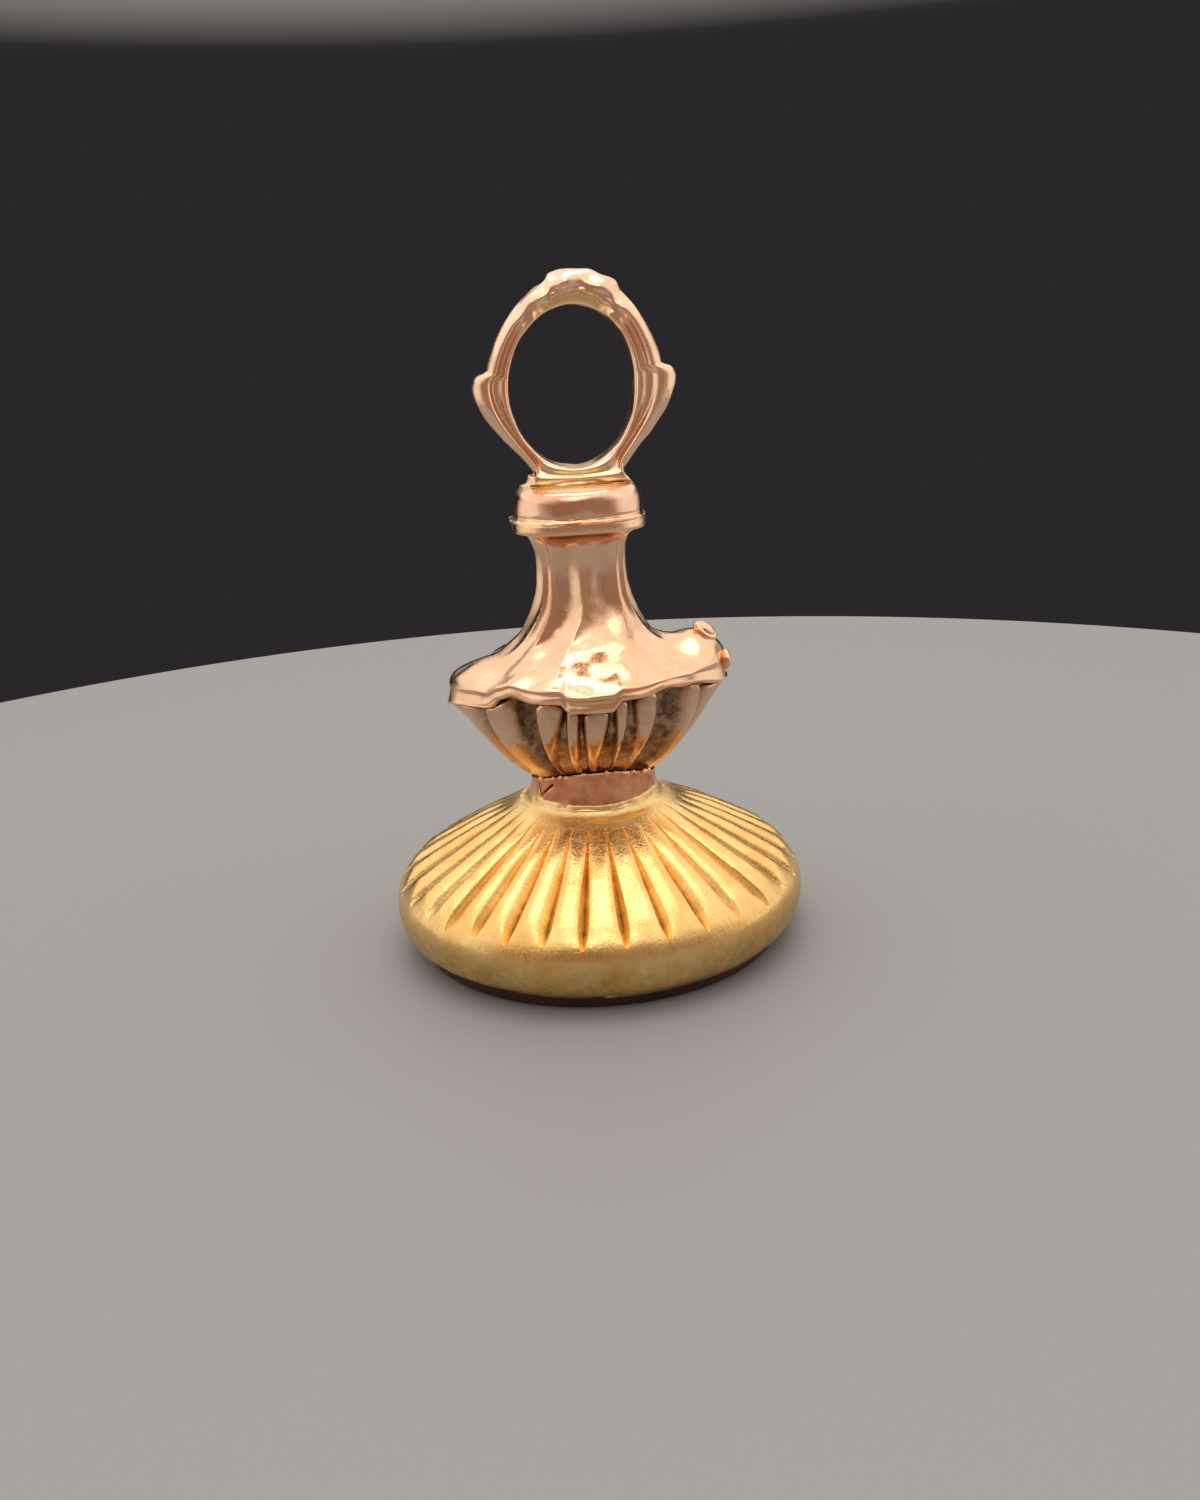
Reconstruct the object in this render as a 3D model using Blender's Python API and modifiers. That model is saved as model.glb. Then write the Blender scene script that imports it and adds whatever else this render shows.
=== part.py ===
"""A gold fob seal, standing on its stone: a fluted mount, a soldered collar, a cast stem and a loop.

Run it with blender --background --python part.py, or from Blender's text editor.
X runs from side to side, the front faces -Y, and the stone's flat face lies at z = 0.
Angles go round from the front: 0 is the front, 90 the right side, in degrees where a name says so.
"""

import math

import bmesh
import bpy
import numpy as np
from mathutils import Matrix

MM = 0.001

# Fits
FIT = 0.05 * MM  # what is left between two pieces that are soldered or set together

# Seal stone
STONE_THICKNESS = 1.6 * MM
STONE_PROUD = 0.8 * MM  # how far the stone stands below the gold edge that holds it
STONE_BEVEL = 0.3 * MM
STONE_SIDES = 64

# Fluted mount
SEAL_LENGTH = 22.85 * MM
SEAL_DEPTH = 21.35 * MM
MOUNT_HEIGHT = 7.5 * MM
RIM_WALL = 0.35 * MM
GROOVES = 32
GROOVE_DEPTH = 0.34 * MM
GROOVE_WIDTH = 0.58 * MM
GROOVE_START = math.radians(2.2)  # where the first groove lies, from the front
GROOVE_DRIFT = math.radians(6.5)  # how far the hand-cut spacing runs on at the left side
GROOVE_DRIFT_SIDE = math.radians(-80.0)
GROOVE_DRIFT_SPREAD = math.radians(42.0)
# Each point of the outline: share of the way out from the collar, share of the height, share of the groove
MOUNT_OUTLINE = (
    (0.00, 1.00, 0.0),
    (0.10, 0.940, 0.0),
    (0.22, 0.868, 0.35),
    (0.50, 0.703, 0.75),
    (0.76, 0.552, 1.0),
    (0.90, 0.458, 0.9),
    (0.972, 0.375, 0.0),
    (1.00, 0.270, 0.0),
    (0.982, 0.130, 0.0),
    (0.897, 0.00, 0.0),
)

# Collar
COLLAR_RADIUS = 3.45 * MM
COLLAR_FLARE = 0.17 * MM
COLLAR_HEIGHT = 1.6 * MM
COLLAR_SIDES = 48
JOINT_RISE = 0.42 * MM  # the top edge is this much higher at front and back than its mean, and lower at the sides

# Stem
STEM_HEIGHT = 13.35 * MM
KNOP_LENGTH = 12.6 * MM
KNOP_DEPTH = 12.0 * MM
CORNER_REACH = 1.32 * MM  # how far the knop's left and right corners stand out of its oval
CORNER_SPREAD = math.radians(25.0)
RIM_WAVE = 0.3 * MM
NECK_CUT = 0.36 * MM
FLANGE_REACH = 3.42 * MM
CORNER_LIFT = 1.1 * MM  # how far the right corner curls up, from the rim's widest line on
LIFT_SPREAD = math.radians(24.0)
# Each ring: share of the height, share of the knop's half width, then shares of the gadroons, of the rim's
# wave and corners, and of the neck's channels, and how square the plan is (2 is an oval)
STEM_RINGS = (
    (0.045, 0.660, 0.5, 0.1, 0.0, 2.0),
    (0.110, 0.780, 1.0, 0.3, 0.0, 2.0),
    (0.180, 0.875, 1.0, 0.48, 0.0, 2.0),
    (0.250, 0.940, 0.9, 0.7, 0.0, 2.0),
    (0.318, 0.965, 0.4, 0.9, 0.0, 2.0),
    (0.346, 0.985, 0.0, 1.0, 0.0, 2.0),
    (0.388, 1.000, 0.0, 1.0, 0.0, 2.0),
    (0.426, 0.965, 0.0, 0.75, 0.0, 2.0),
    (0.443, 0.890, 0.0, 0.9, 0.0, 2.0),
    (0.455, 0.800, 0.0, 0.7, 0.5, 2.0),
    (0.485, 0.680, 0.0, 0.3, 0.9, 2.1),
    (0.543, 0.565, 0.0, 0.0, 1.0, 2.4),
    (0.618, 0.472, 0.0, 0.0, 1.0, 2.7),
    (0.705, 0.400, 0.0, 0.0, 1.0, 2.9),
    (0.825, 0.375, 0.0, 0.0, 1.0, 3.0),
    (0.907, 0.392, 0.0, 0.0, 0.8, 2.7),
)
CORNER_UP = 0.45  # share of the height at which the shoulder leaves the corners
# Height left above each ring of the flange, and what it keeps back from the flange's reach
FLANGE_RINGS = ((0.66 * MM, 0.45 * MM), (0.46 * MM, 0.0 * MM), (0.15 * MM, 0.0 * MM), (0.0 * MM, 0.15 * MM))
FLANGE_SQUARE = 2.5
# Cuts between the petals, from the middle of the front out to a corner: start and end in degrees, and depth
PETAL_CUTS = (
    (5.5, 8.5, 0.42 * MM),
    (14.0, 17.5, 0.45 * MM),
    (27.0, 47.0, 0.80 * MM),
    (69.0, 73.0, 0.35 * MM),
)
TOP_PELLET_SIZE = (1.3 * MM, 0.9 * MM, 0.7 * MM)
TOP_PELLET_OUT = 0.1 * MM  # beyond the knop's half length
TOP_PELLET_SINK = 0.35 * MM  # below the top of the curled corner
TOP_PELLET_LEAN = math.radians(32.0)
SIDE_PELLET_SIZE = (0.5 * MM, 0.8 * MM, 0.8 * MM)
SIDE_PELLET_SINK = 0.12 * MM  # below the skin of the corner
SIDE_PELLET_FRONT = 0.1 * MM
SIDE_PELLET_DROP = 2.0 * MM  # below the top of the curled corner
SIDE_PELLET_LEAN = math.radians(8.0)

# Cap bead
BEAD_LENGTH = 6.6 * MM
BEAD_DEPTH = 6.4 * MM
BEAD_HEIGHT = 1.6 * MM
BEAD_ROUND = 0.62 * MM
BEAD_SIDES = 40

# Suspension loop
LOOP_HEIGHT = 10.2 * MM
LOOP_FOOT = 0.8 * MM  # metal under the hole
LOOP_TOP = 1.65 * MM  # metal over the hole, with the clasp
HOLE_WIDTH = 6.2 * MM
ARM_WIDTH = 1.5 * MM
ARM_EXTRA = 0.36 * MM  # the right arm is this much wider than the left one
ARM_PINCH = 0.13  # share of the width that the outside loses towards the top
HORN_REACH = 5.12 * MM
HORN_TIP = 0.62 * MM
TIP_ABOVE = 0.25 * MM  # the horns are widest this far above the hole's middle
FOOT_REACH = 2.4 * MM
WAIST_REACH = 2.3 * MM
WAIST_HEIGHT = 0.5 * MM
LOOP_LEAN = 0.06  # sideways lean of the upper loop, as a slope
CLASP_REACH = 1.9 * MM
CLASP_STEP = 0.22 * MM
CLASP_SHIFT = 0.45 * MM
LOOP_THICK = 2.3 * MM
FOOT_THICK = 3.0 * MM
LOOP_STATIONS = 56

# Heights, from the flat face up
RIM_EDGE = STONE_PROUD
MOUNT_TOP = RIM_EDGE + MOUNT_HEIGHT
COLLAR_FOOT = MOUNT_TOP + FIT
JOINT = COLLAR_FOOT + COLLAR_HEIGHT
STEM_FOOT = JOINT + FIT
STEM_TOP = STEM_FOOT + STEM_HEIGHT
BEAD_FOOT = STEM_TOP + FIT
BEAD_TOP = BEAD_FOOT + BEAD_HEIGHT
LOOP_START = BEAD_TOP + FIT
LOOP_END = LOOP_START + LOOP_HEIGHT


def empty_scene():
    for obj in list(bpy.data.objects):
        bpy.data.objects.remove(obj, do_unlink=True)


def new_collection(name):
    collection = bpy.data.collections.new(name)
    bpy.context.scene.collection.children.link(collection)
    return collection


def metal_or_stone(name, colour, roughness, metallic):
    material = bpy.data.materials.new(name)
    material.use_nodes = True
    shader = material.node_tree.nodes["Principled BSDF"]
    shader.inputs["Base Color"].default_value = (*colour, 1.0)
    shader.inputs["Roughness"].default_value = roughness
    shader.inputs["Metallic"].default_value = metallic
    return material


def add_piece(name, mesh, material, collection, parent=None, location=(0.0, 0.0, 0.0)):
    """Puts a mesh into the scene as a named piece with its own material."""
    piece = bpy.data.objects.new(name, mesh)
    piece.location = location
    piece.parent = parent
    mesh.materials.append(material)
    collection.objects.link(piece)
    return piece


def turned(angles, middle):
    """Each angle counted from a middle one, between minus and plus half a turn."""
    return (angles - middle + math.pi) % (2 * math.pi) - math.pi


def oval(angles, half_length, half_depth, square=2.0):
    """Points of a superellipse in plan at these angles from the front."""
    side, front = np.sin(angles), -np.cos(angles)
    x = half_length * np.sign(side) * np.abs(side) ** (2.0 / square)
    y = half_depth * np.sign(front) * np.abs(front) ** (2.0 / square)
    return x, y


def loft(name, rings, closed_tube=False):
    """One closed skin over rings of points: capped at both ends, or joined end to end as a tube."""
    rows = len(rings)
    count = len(rings[0])
    body = bmesh.new()
    verts = [[body.verts.new(point) for point in ring] for ring in rings]
    for row in range(rows if closed_tube else rows - 1):
        here, there = verts[row], verts[(row + 1) % rows]
        for k in range(count):
            after = (k + 1) % count
            body.faces.new((here[k], here[after], there[after], there[k]))
    if not closed_tube:
        for ring in (verts[0], verts[-1]):
            middle = sum((v.co for v in ring), start=ring[0].co * 0.0) / count
            hub = body.verts.new(middle)
            for k in range(count):
                body.faces.new((ring[k], ring[(k + 1) % count], hub))
    bmesh.ops.recalc_face_normals(body, faces=body.faces)
    mesh = bpy.data.meshes.new(name)
    body.to_mesh(mesh)
    body.free()
    return mesh


def smooth(mesh, degrees):
    mesh.shade_smooth()
    mesh.set_sharp_from_angle(angle=math.radians(degrees))


def tablet(name, half_length, half_depth, height, sides):
    """An oval disc with upright sides, its foot at z = 0."""
    body = bmesh.new()
    bmesh.ops.create_cone(body, cap_ends=True, segments=sides, radius1=1.0, radius2=1.0, depth=height)
    bmesh.ops.translate(body, verts=body.verts, vec=(0.0, 0.0, height / 2))
    bmesh.ops.scale(body, verts=body.verts, vec=(half_length, half_depth, 1.0))
    mesh = bpy.data.meshes.new(name)
    body.to_mesh(mesh)
    body.free()
    return mesh


def rounded_edges(piece, width, segments):
    bevel = piece.modifiers.new("rounded edges", "BEVEL")
    bevel.width = width
    bevel.segments = segments
    bevel.limit_method = "ANGLE"
    bevel.angle_limit = math.radians(50.0)


def mount_half(share):
    """Half length and half depth of the mount, a share of the way from the collar out to its widest."""
    inner = COLLAR_RADIUS + COLLAR_FLARE
    return inner + share * (SEAL_LENGTH / 2 - inner), inner + share * (SEAL_DEPTH / 2 - inner)


def stone_half():
    """The stone fits inside the rim's wall with the fit all round."""
    length, depth = mount_half(MOUNT_OUTLINE[-1][0])
    return length - RIM_WALL - FIT, depth - RIM_WALL - FIT


def groove_columns(half_length, cut):
    """Angles and cut depths round one ring: the valley of each groove, its two edges and the land between.

    A groove is a V whose width and depth grow with cut, from 0 to 1, and its edges never quite meet.
    """
    pitch = 2 * math.pi / GROOVES
    half_width = min((0.25 + 0.75 * cut) * GROOVE_WIDTH / 2 / half_length, 0.42 * pitch)
    starts = GROOVE_START + np.arange(GROOVES) * pitch
    from_side = turned(starts, GROOVE_DRIFT_SIDE)
    starts = starts + GROOVE_DRIFT * np.exp(-((from_side / GROOVE_DRIFT_SPREAD) ** 2))
    offsets = np.array([-half_width, 0.0, half_width, pitch / 2])
    angles = (starts[:, None] + offsets).ravel()
    depths = np.tile([0.0, cut * GROOVE_DEPTH, 0.0, 0.0], GROOVES)
    return angles, depths


def mount_rings():
    """The dome from the collar down over the shoulder to the rim, then up inside round the stone."""
    rings = []
    rise = MOUNT_HEIGHT / (SEAL_LENGTH / 2 - COLLAR_RADIUS)
    lean = 1 / math.hypot(1.0, rise)
    for out, up, cut in MOUNT_OUTLINE:
        half_length, half_depth = mount_half(out)
        angles, depths = groove_columns(half_length, cut)
        x, y = oval(angles, half_length, half_depth)
        inward = 1 - depths * rise * lean / half_length
        z = RIM_EDGE + up * MOUNT_HEIGHT - depths * lean
        rings.append(np.stack([x * inward, y * inward, z], axis=1))
    seat = STONE_THICKNESS + FIT
    half_length, half_depth = stone_half()
    angles, _ = groove_columns(half_length, 0.0)
    x, y = oval(angles, half_length + FIT, half_depth + FIT)
    for z in (RIM_EDGE, seat):
        rings.append(np.stack([x, y, np.full_like(x, z)], axis=1))
    return rings


def joint_wave(angles):
    """The line where collar and stem meet climbs at front and back: a cosine of twice the angle."""
    return JOINT_RISE * np.cos(2 * angles)


def collar_rings():
    angles = np.arange(COLLAR_SIDES) * 2 * math.pi / COLLAR_SIDES
    levels = (
        (COLLAR_RADIUS + COLLAR_FLARE, 0.0),
        (COLLAR_RADIUS + COLLAR_FLARE * 0.25, 0.12),
        (COLLAR_RADIUS, 0.35),
        (COLLAR_RADIUS, 1.0),
    )
    rings = []
    for radius, share in levels:
        x, y = oval(angles, radius, radius)
        z = COLLAR_FOOT + share * COLLAR_HEIGHT + share * joint_wave(angles)
        rings.append(np.stack([x, y, z], axis=1))
    return rings


def stem_columns():
    """Angles round the stem: the edges and quarters of each cut, and the middle of each petal."""
    quarter = [0.0]
    reached = 0.0
    for start, end, _ in PETAL_CUTS:
        steps = 4 if end - start > 10.0 else 2
        quarter += [(reached + start) / 2, *np.linspace(start, end, steps + 1)]
        reached = end
    quarter += [(reached + 90.0) / 2]
    quarter = np.radians(quarter)
    half = np.concatenate([quarter, [math.pi / 2], math.pi - quarter[:0:-1]])
    return np.concatenate([half, math.pi + half])


def from_front(angles):
    """Each angle folded into the quarter between the front or back and a corner, in degrees."""
    return np.degrees(np.arcsin(np.clip(np.abs(np.sin(angles)), 0, 1)))


def gadroon_cut(angles):
    """Depth of the cuts between the petals: half a sine wave across each cut."""
    fold = from_front(angles)
    cut = np.zeros_like(fold)
    for start, end, depth in PETAL_CUTS:
        cut = cut + depth * np.sin(math.pi * np.clip((fold - start) / (end - start), 0, 1))
    return cut


def rim_wave(angles):
    """The rim sags at the middle of the front and at the corners and lifts over each scoop."""
    return -RIM_WAVE * np.cos(np.radians(from_front(angles)) * 4.4)


def corner_bump(angles):
    """The knop's left and right corners stand out of its oval as rounded lobes."""
    from_corner = math.pi / 2 - np.radians(from_front(angles))
    return CORNER_REACH * np.exp(-((from_corner / CORNER_SPREAD) ** 2))


def corner_lift(angles):
    """The right corner curls up."""
    return CORNER_LIFT * np.exp(-((turned(angles, math.pi / 2) / LIFT_SPREAD) ** 2))


def neck_cut(angles):
    """Two hollow channels on each of the four faces, with a thin ridge between them."""
    across = np.degrees(angles) % 90.0
    from_ridge = np.minimum(across, 90.0 - across)
    return NECK_CUT * np.sin(math.pi * np.clip(from_ridge / 36.0, 0, 1))


def stem_rings():
    """The foot on the collar, the gadrooned bowl, the rim, the hollow shoulder, the neck and the flange."""
    angles = stem_columns()
    reach = COLLAR_RADIUS - FIT
    x, y = oval(angles, reach, reach)
    rings = [np.stack([x, y, STEM_FOOT + joint_wave(angles)], axis=1)]
    oval_ratio = KNOP_DEPTH / KNOP_LENGTH
    for up, out, petals, wave, channels, square in STEM_RINGS:
        foot = max(0.0, 1 - up / 0.25)
        neck = min(1.0, max(0.0, (up - 0.40) / 0.3))
        half_length = out * KNOP_LENGTH / 2
        half_depth = half_length * (oval_ratio + foot * (1 - oval_ratio) + neck * (0.97 - oval_ratio))
        x, y = oval(angles, half_length, half_depth, square)
        cut = petals * gadroon_cut(angles) + channels * neck_cut(angles) - wave * corner_bump(angles)
        keep = 1 - cut / np.hypot(x, y)
        curl = wave * min(1.0, max(0.0, (up - 0.38) / 0.05))
        lift = foot * joint_wave(angles) + wave * rim_wave(angles) + curl * corner_lift(angles)
        rings.append(np.stack([x * keep, y * keep, STEM_FOOT + up * STEM_HEIGHT + lift], axis=1))
    for below, back in FLANGE_RINGS:
        half_length = FLANGE_REACH - back
        x, y = oval(angles, half_length, half_length * 0.95, FLANGE_SQUARE)
        rings.append(np.stack([x, y, np.full_like(x, STEM_TOP - below)], axis=1))
    return rings


def pellet(name, size, place, lean, collection):
    """A small smooth lump of gold, as a helper that is joined to the stem."""
    body = bmesh.new()
    bmesh.ops.create_uvsphere(body, u_segments=12, v_segments=8, radius=0.5)
    bmesh.ops.scale(body, verts=body.verts, vec=size)
    bmesh.ops.rotate(body, verts=body.verts, matrix=Matrix.Rotation(lean, 3, "Y"))
    mesh = bpy.data.meshes.new(name)
    body.to_mesh(mesh)
    body.free()
    helper = bpy.data.objects.new(name, mesh)
    helper.location = place
    helper.hide_render = True
    helper.display_type = "WIRE"
    collection.objects.link(helper)
    return helper


def join(piece, helper):
    union = piece.modifiers.new(helper.name, "BOOLEAN")
    union.operation = "UNION"
    union.solver = "EXACT"
    union.object = helper


def loop_centre():
    low = LOOP_START + LOOP_FOOT
    high = LOOP_END - LOOP_TOP
    return (low + high) / 2, (high - low) / 2


def horn_edge(z, centre):
    """Half width of the horns' outer flank at a height: straight from the waist, then a round tip."""
    waist = LOOP_START + WAIST_HEIGHT
    tip = centre + TIP_ABOVE
    share = np.clip((z - waist) / (tip - waist), 0, 1)
    flank = WAIST_REACH + (HORN_REACH - WAIST_REACH) * np.sin(share * math.pi / 2) ** 1.3
    above = np.clip((z - tip) / HORN_TIP, 0, 1)
    return np.where(z > tip, HORN_REACH - HORN_TIP * (1 - np.sqrt(1 - above**2)), flank)


def loop_outline():
    """Inner and outer points of the loop at each station, as offsets from the hole's middle, going round."""
    centre, half_height = loop_centre()
    angles = 2 * math.pi * np.arange(LOOP_STATIONS) / LOOP_STATIONS
    side, up = np.sin(angles), np.cos(angles)
    inner = np.stack([HOLE_WIDTH / 2 * side, half_height * up], axis=1)
    arc_up = half_height + LOOP_TOP - CLASP_STEP
    arc_side = (HOLE_WIDTH / 2 + ARM_WIDTH) * (1 - ARM_PINCH * np.maximum(up, 0.0))
    outer = np.stack([arc_side * side, arc_up * up], axis=1)
    clasp = (np.abs(outer[:, 0] - CLASP_SHIFT) < CLASP_REACH) & (up > 0)
    outer[clasp, 1] += CLASP_STEP
    below_tip = outer[:, 1] < TIP_ABOVE + HORN_TIP
    z = np.maximum(centre + outer[:, 1], LOOP_START)
    near_foot = np.clip((LOOP_START + WAIST_HEIGHT - z) / WAIST_HEIGHT, 0, 1)
    flank = horn_edge(z, centre) + near_foot * (FOOT_REACH - WAIST_REACH)
    outer[below_tip, 0] = (np.sign(side) * np.minimum(flank, np.abs(side) * 1.6 * HORN_REACH))[below_tip]
    outer[:, 1] = z - centre
    lean = LOOP_LEAN * np.maximum(inner[:, 1], 0.0)
    inner[:, 0] += lean
    outer[:, 0] += lean + ARM_EXTRA / 2
    return inner, outer


def loop_rings():
    """Sections round the hole: a flat inner wall, faces with a groove between two ridges, a round back."""
    centre, half_height = loop_centre()
    inner, outer = loop_outline()
    across = np.array([0.0, 0.0, 0.18, 0.42, 0.62, 0.85, 1.0, 1.0, 0.85, 0.62, 0.42, 0.18])
    thick = np.array([-0.62, 0.62, 0.95, 0.95, 0.72, 1.0, 0.6, -0.6, -1.0, -0.72, -0.95, -0.95])
    rings = []
    for near, far in zip(inner, outer):
        low = max(0.0, min(1.0, (-near[1] / half_height - 0.5) * 2))
        half_thick = (LOOP_THICK + low * (FOOT_THICK - LOOP_THICK)) / 2
        flat = near + across[:, None] * (far - near)
        rings.append(np.stack([flat[:, 0], thick * half_thick, centre + flat[:, 1]], axis=1))
    return rings


def build():
    empty_scene()
    pieces = new_collection("fob_seal")
    helpers = new_collection("helpers")
    frame = bpy.data.objects.new("fob_seal_frame", None)
    pieces.objects.link(frame)

    stone_red = metal_or_stone("polished red stone", (0.16, 0.03, 0.02), 0.12, 0.0)
    yellow_gold = metal_or_stone("satin yellow gold", (0.86, 0.60, 0.24), 0.32, 1.0)
    copper_gold = metal_or_stone("polished copper gold", (0.80, 0.47, 0.34), 0.18, 1.0)
    rose_gold = metal_or_stone("polished rose gold", (0.83, 0.54, 0.38), 0.2, 1.0)
    bead_gold = metal_or_stone("polished bead gold", (0.84, 0.56, 0.40), 0.16, 1.0)
    loop_gold = metal_or_stone("worn loop gold", (0.85, 0.60, 0.38), 0.24, 1.0)

    half_length, half_depth = stone_half()
    stone_mesh = tablet("seal_stone", half_length, half_depth, STONE_THICKNESS, STONE_SIDES)
    stone = add_piece("seal_stone", stone_mesh, stone_red, pieces, frame)
    rounded_edges(stone, STONE_BEVEL, 1)

    mount_mesh = loft("fluted_mount", mount_rings())
    add_piece("fluted_mount", mount_mesh, yellow_gold, pieces, frame)
    smooth(mount_mesh, 25.0)

    collar_mesh = loft("collar", collar_rings())
    add_piece("collar", collar_mesh, copper_gold, pieces, frame)
    smooth(collar_mesh, 40.0)

    stem_mesh = loft("stem", stem_rings())
    stem = add_piece("stem", stem_mesh, rose_gold, pieces, frame)
    smooth(stem_mesh, 40.0)
    knop_half = KNOP_LENGTH / 2
    corner_top = STEM_FOOT + CORNER_UP * STEM_HEIGHT + CORNER_LIFT
    top_place = (knop_half + TOP_PELLET_OUT, 0.0, corner_top - TOP_PELLET_SINK)
    join(stem, pellet("top_pellet", TOP_PELLET_SIZE, top_place, TOP_PELLET_LEAN, helpers))
    side_out = knop_half + CORNER_REACH - SIDE_PELLET_SINK
    side_place = (side_out, -SIDE_PELLET_FRONT, corner_top - SIDE_PELLET_DROP)
    join(stem, pellet("side_pellet", SIDE_PELLET_SIZE, side_place, SIDE_PELLET_LEAN, helpers))

    bead_mesh = tablet("cap_bead", BEAD_LENGTH / 2, BEAD_DEPTH / 2, BEAD_HEIGHT, BEAD_SIDES)
    bead = add_piece("cap_bead", bead_mesh, bead_gold, pieces, frame, (0.0, 0.0, BEAD_FOOT))
    rounded_edges(bead, BEAD_ROUND, 4)
    smooth(bead_mesh, 40.0)

    loop_mesh = loft("suspension_loop", loop_rings(), closed_tube=True)
    add_piece("suspension_loop", loop_mesh, loop_gold, pieces, frame)
    smooth(loop_mesh, 40.0)


build()
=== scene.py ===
# %% [markdown]
# # A gold fob seal, dressed for its portrait
#
# A fob seal hangs from a watch chain and stands on its own stone when it is put down. This one is built
# from six soldered pieces: a polished stone, a fluted mount, a collar, a cast stem, a cushion bead and a
# loop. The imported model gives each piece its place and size. Here each one gets a fine surface that is
# worked out as a whole array of points, then a finish made of shader nodes.

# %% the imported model
import math

import bpy
import numpy as np
from mathutils import Matrix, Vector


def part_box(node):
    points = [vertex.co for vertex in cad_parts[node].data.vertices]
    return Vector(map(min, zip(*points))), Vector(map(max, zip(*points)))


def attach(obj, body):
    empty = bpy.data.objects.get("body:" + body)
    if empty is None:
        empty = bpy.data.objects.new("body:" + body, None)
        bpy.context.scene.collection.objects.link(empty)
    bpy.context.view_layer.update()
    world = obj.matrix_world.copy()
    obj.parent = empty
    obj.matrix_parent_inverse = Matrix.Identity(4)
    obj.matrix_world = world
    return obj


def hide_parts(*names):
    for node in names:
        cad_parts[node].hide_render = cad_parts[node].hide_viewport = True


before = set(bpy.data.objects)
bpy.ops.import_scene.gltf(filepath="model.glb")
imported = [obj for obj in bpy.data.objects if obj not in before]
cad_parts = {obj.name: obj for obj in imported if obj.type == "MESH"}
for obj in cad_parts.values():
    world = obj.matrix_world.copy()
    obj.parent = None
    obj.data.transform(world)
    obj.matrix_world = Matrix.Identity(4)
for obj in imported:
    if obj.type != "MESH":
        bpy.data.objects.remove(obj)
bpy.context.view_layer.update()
MM = 0.001
FIT = 0.05 * MM
print("pieces in the frame:", sorted(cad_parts))

# %% [markdown]
# ## The camera
#
# The portrait is taken from close by, a little above the seal and a little to its left, with a short lens.
# A short lens this near makes the foot look broad and the loop small, so the distance matters as much as
# the angle. The camera is placed by its azimuth, its pitch and its roll, each one a plain turn.

# %% the camera
CAMERA_PLACE = np.array([-4.174, -62.688, 31.514]) * MM
CAMERA_AZIMUTH = math.radians(-4.22)
CAMERA_PITCH = math.radians(18.48)
CAMERA_ROLL = math.radians(3.24)
LENS_MM = 28.87
SENSOR_MM = 36.0


def aim_camera():
    """Right and up are turned about the view direction by the roll. A camera looks along minus its own Z."""
    toward = np.array([math.sin(CAMERA_AZIMUTH), -math.cos(CAMERA_AZIMUTH), 0.0])
    right = np.array([math.cos(CAMERA_AZIMUTH), math.sin(CAMERA_AZIMUTH), 0.0])
    forward = -toward * math.cos(CAMERA_PITCH) - np.array([0.0, 0.0, math.sin(CAMERA_PITCH)])
    up = np.cross(right, forward)
    cosine, sine = math.cos(CAMERA_ROLL), math.sin(CAMERA_ROLL)
    axes = np.stack([cosine * right - sine * up, cosine * up + sine * right, -forward], axis=1)
    lens = bpy.data.cameras.new("portrait_camera")
    lens.sensor_fit = "VERTICAL"
    lens.sensor_height = SENSOR_MM
    lens.lens = LENS_MM
    lens.clip_start = 1.0 * MM
    camera = bpy.data.objects.new("portrait_camera", lens)
    camera.matrix_world = Matrix.Translation(CAMERA_PLACE) @ Matrix(axes.tolist()).to_4x4()
    bpy.context.scene.collection.objects.link(camera)
    bpy.context.scene.camera = camera


aim_camera()

# %% [markdown]
# ## Surfaces from arrays
#
# Every piece here is a skin over a grid of points: each row is a closed ring round the piece, and the rows
# follow its profile. The whole grid is one numpy array, so a groove or a dent is one expression on all of
# it. A smooth profile comes from a few key rows, joined by cubics.


# %% helpers for surfaces
def turned(angles, middle):
    """Each angle counted from a middle one, between minus and plus half a turn."""
    return (angles - middle + math.pi) % (2 * math.pi) - math.pi


def from_front(angles):
    """Degrees between an angle and the nearer of front and back, from 0 to 90."""
    return np.degrees(np.arcsin(np.clip(np.abs(np.sin(angles)), 0.0, 1.0)))


def step_up(value, low, high):
    """0 below low, 1 above high, and a smooth S of 3t squared minus 2t cubed between them."""
    t = np.clip((value - low) / (high - low), 0.0, 1.0)
    return t * t * (3.0 - 2.0 * t)


def hump(value, middle, spread):
    """A bell curve: 1 in the middle, and e to the minus 1 at one spread away."""
    return np.exp(-(((value - middle) / spread) ** 2))


def bell(angles, middle, spread):
    """The same bell curve round a piece, with its middle and its spread in degrees from the front."""
    return hump(turned(angles, math.radians(middle)), 0.0, math.radians(spread))


def all_round(count):
    """So many angles, evenly spaced over a full turn, from the front on."""
    return np.arange(count) * 2 * math.pi / count


def points_of(x, y, z):
    """Points from their three coordinates, each spread to the shape of all three."""
    return np.stack(np.broadcast_arrays(x, y, z), axis=-1)


def oval(angles, half_length, half_depth, square=2.0):
    """A superellipse in plan, by angle from the front: powers of the sine and cosine, where 2 is an oval."""
    side, front = np.sin(angles), -np.cos(angles)
    x = half_length * np.sign(side) * np.abs(side) ** (2.0 / square)
    y = half_depth * np.sign(front) * np.abs(front) ** (2.0 / square)
    return x, y


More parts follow.
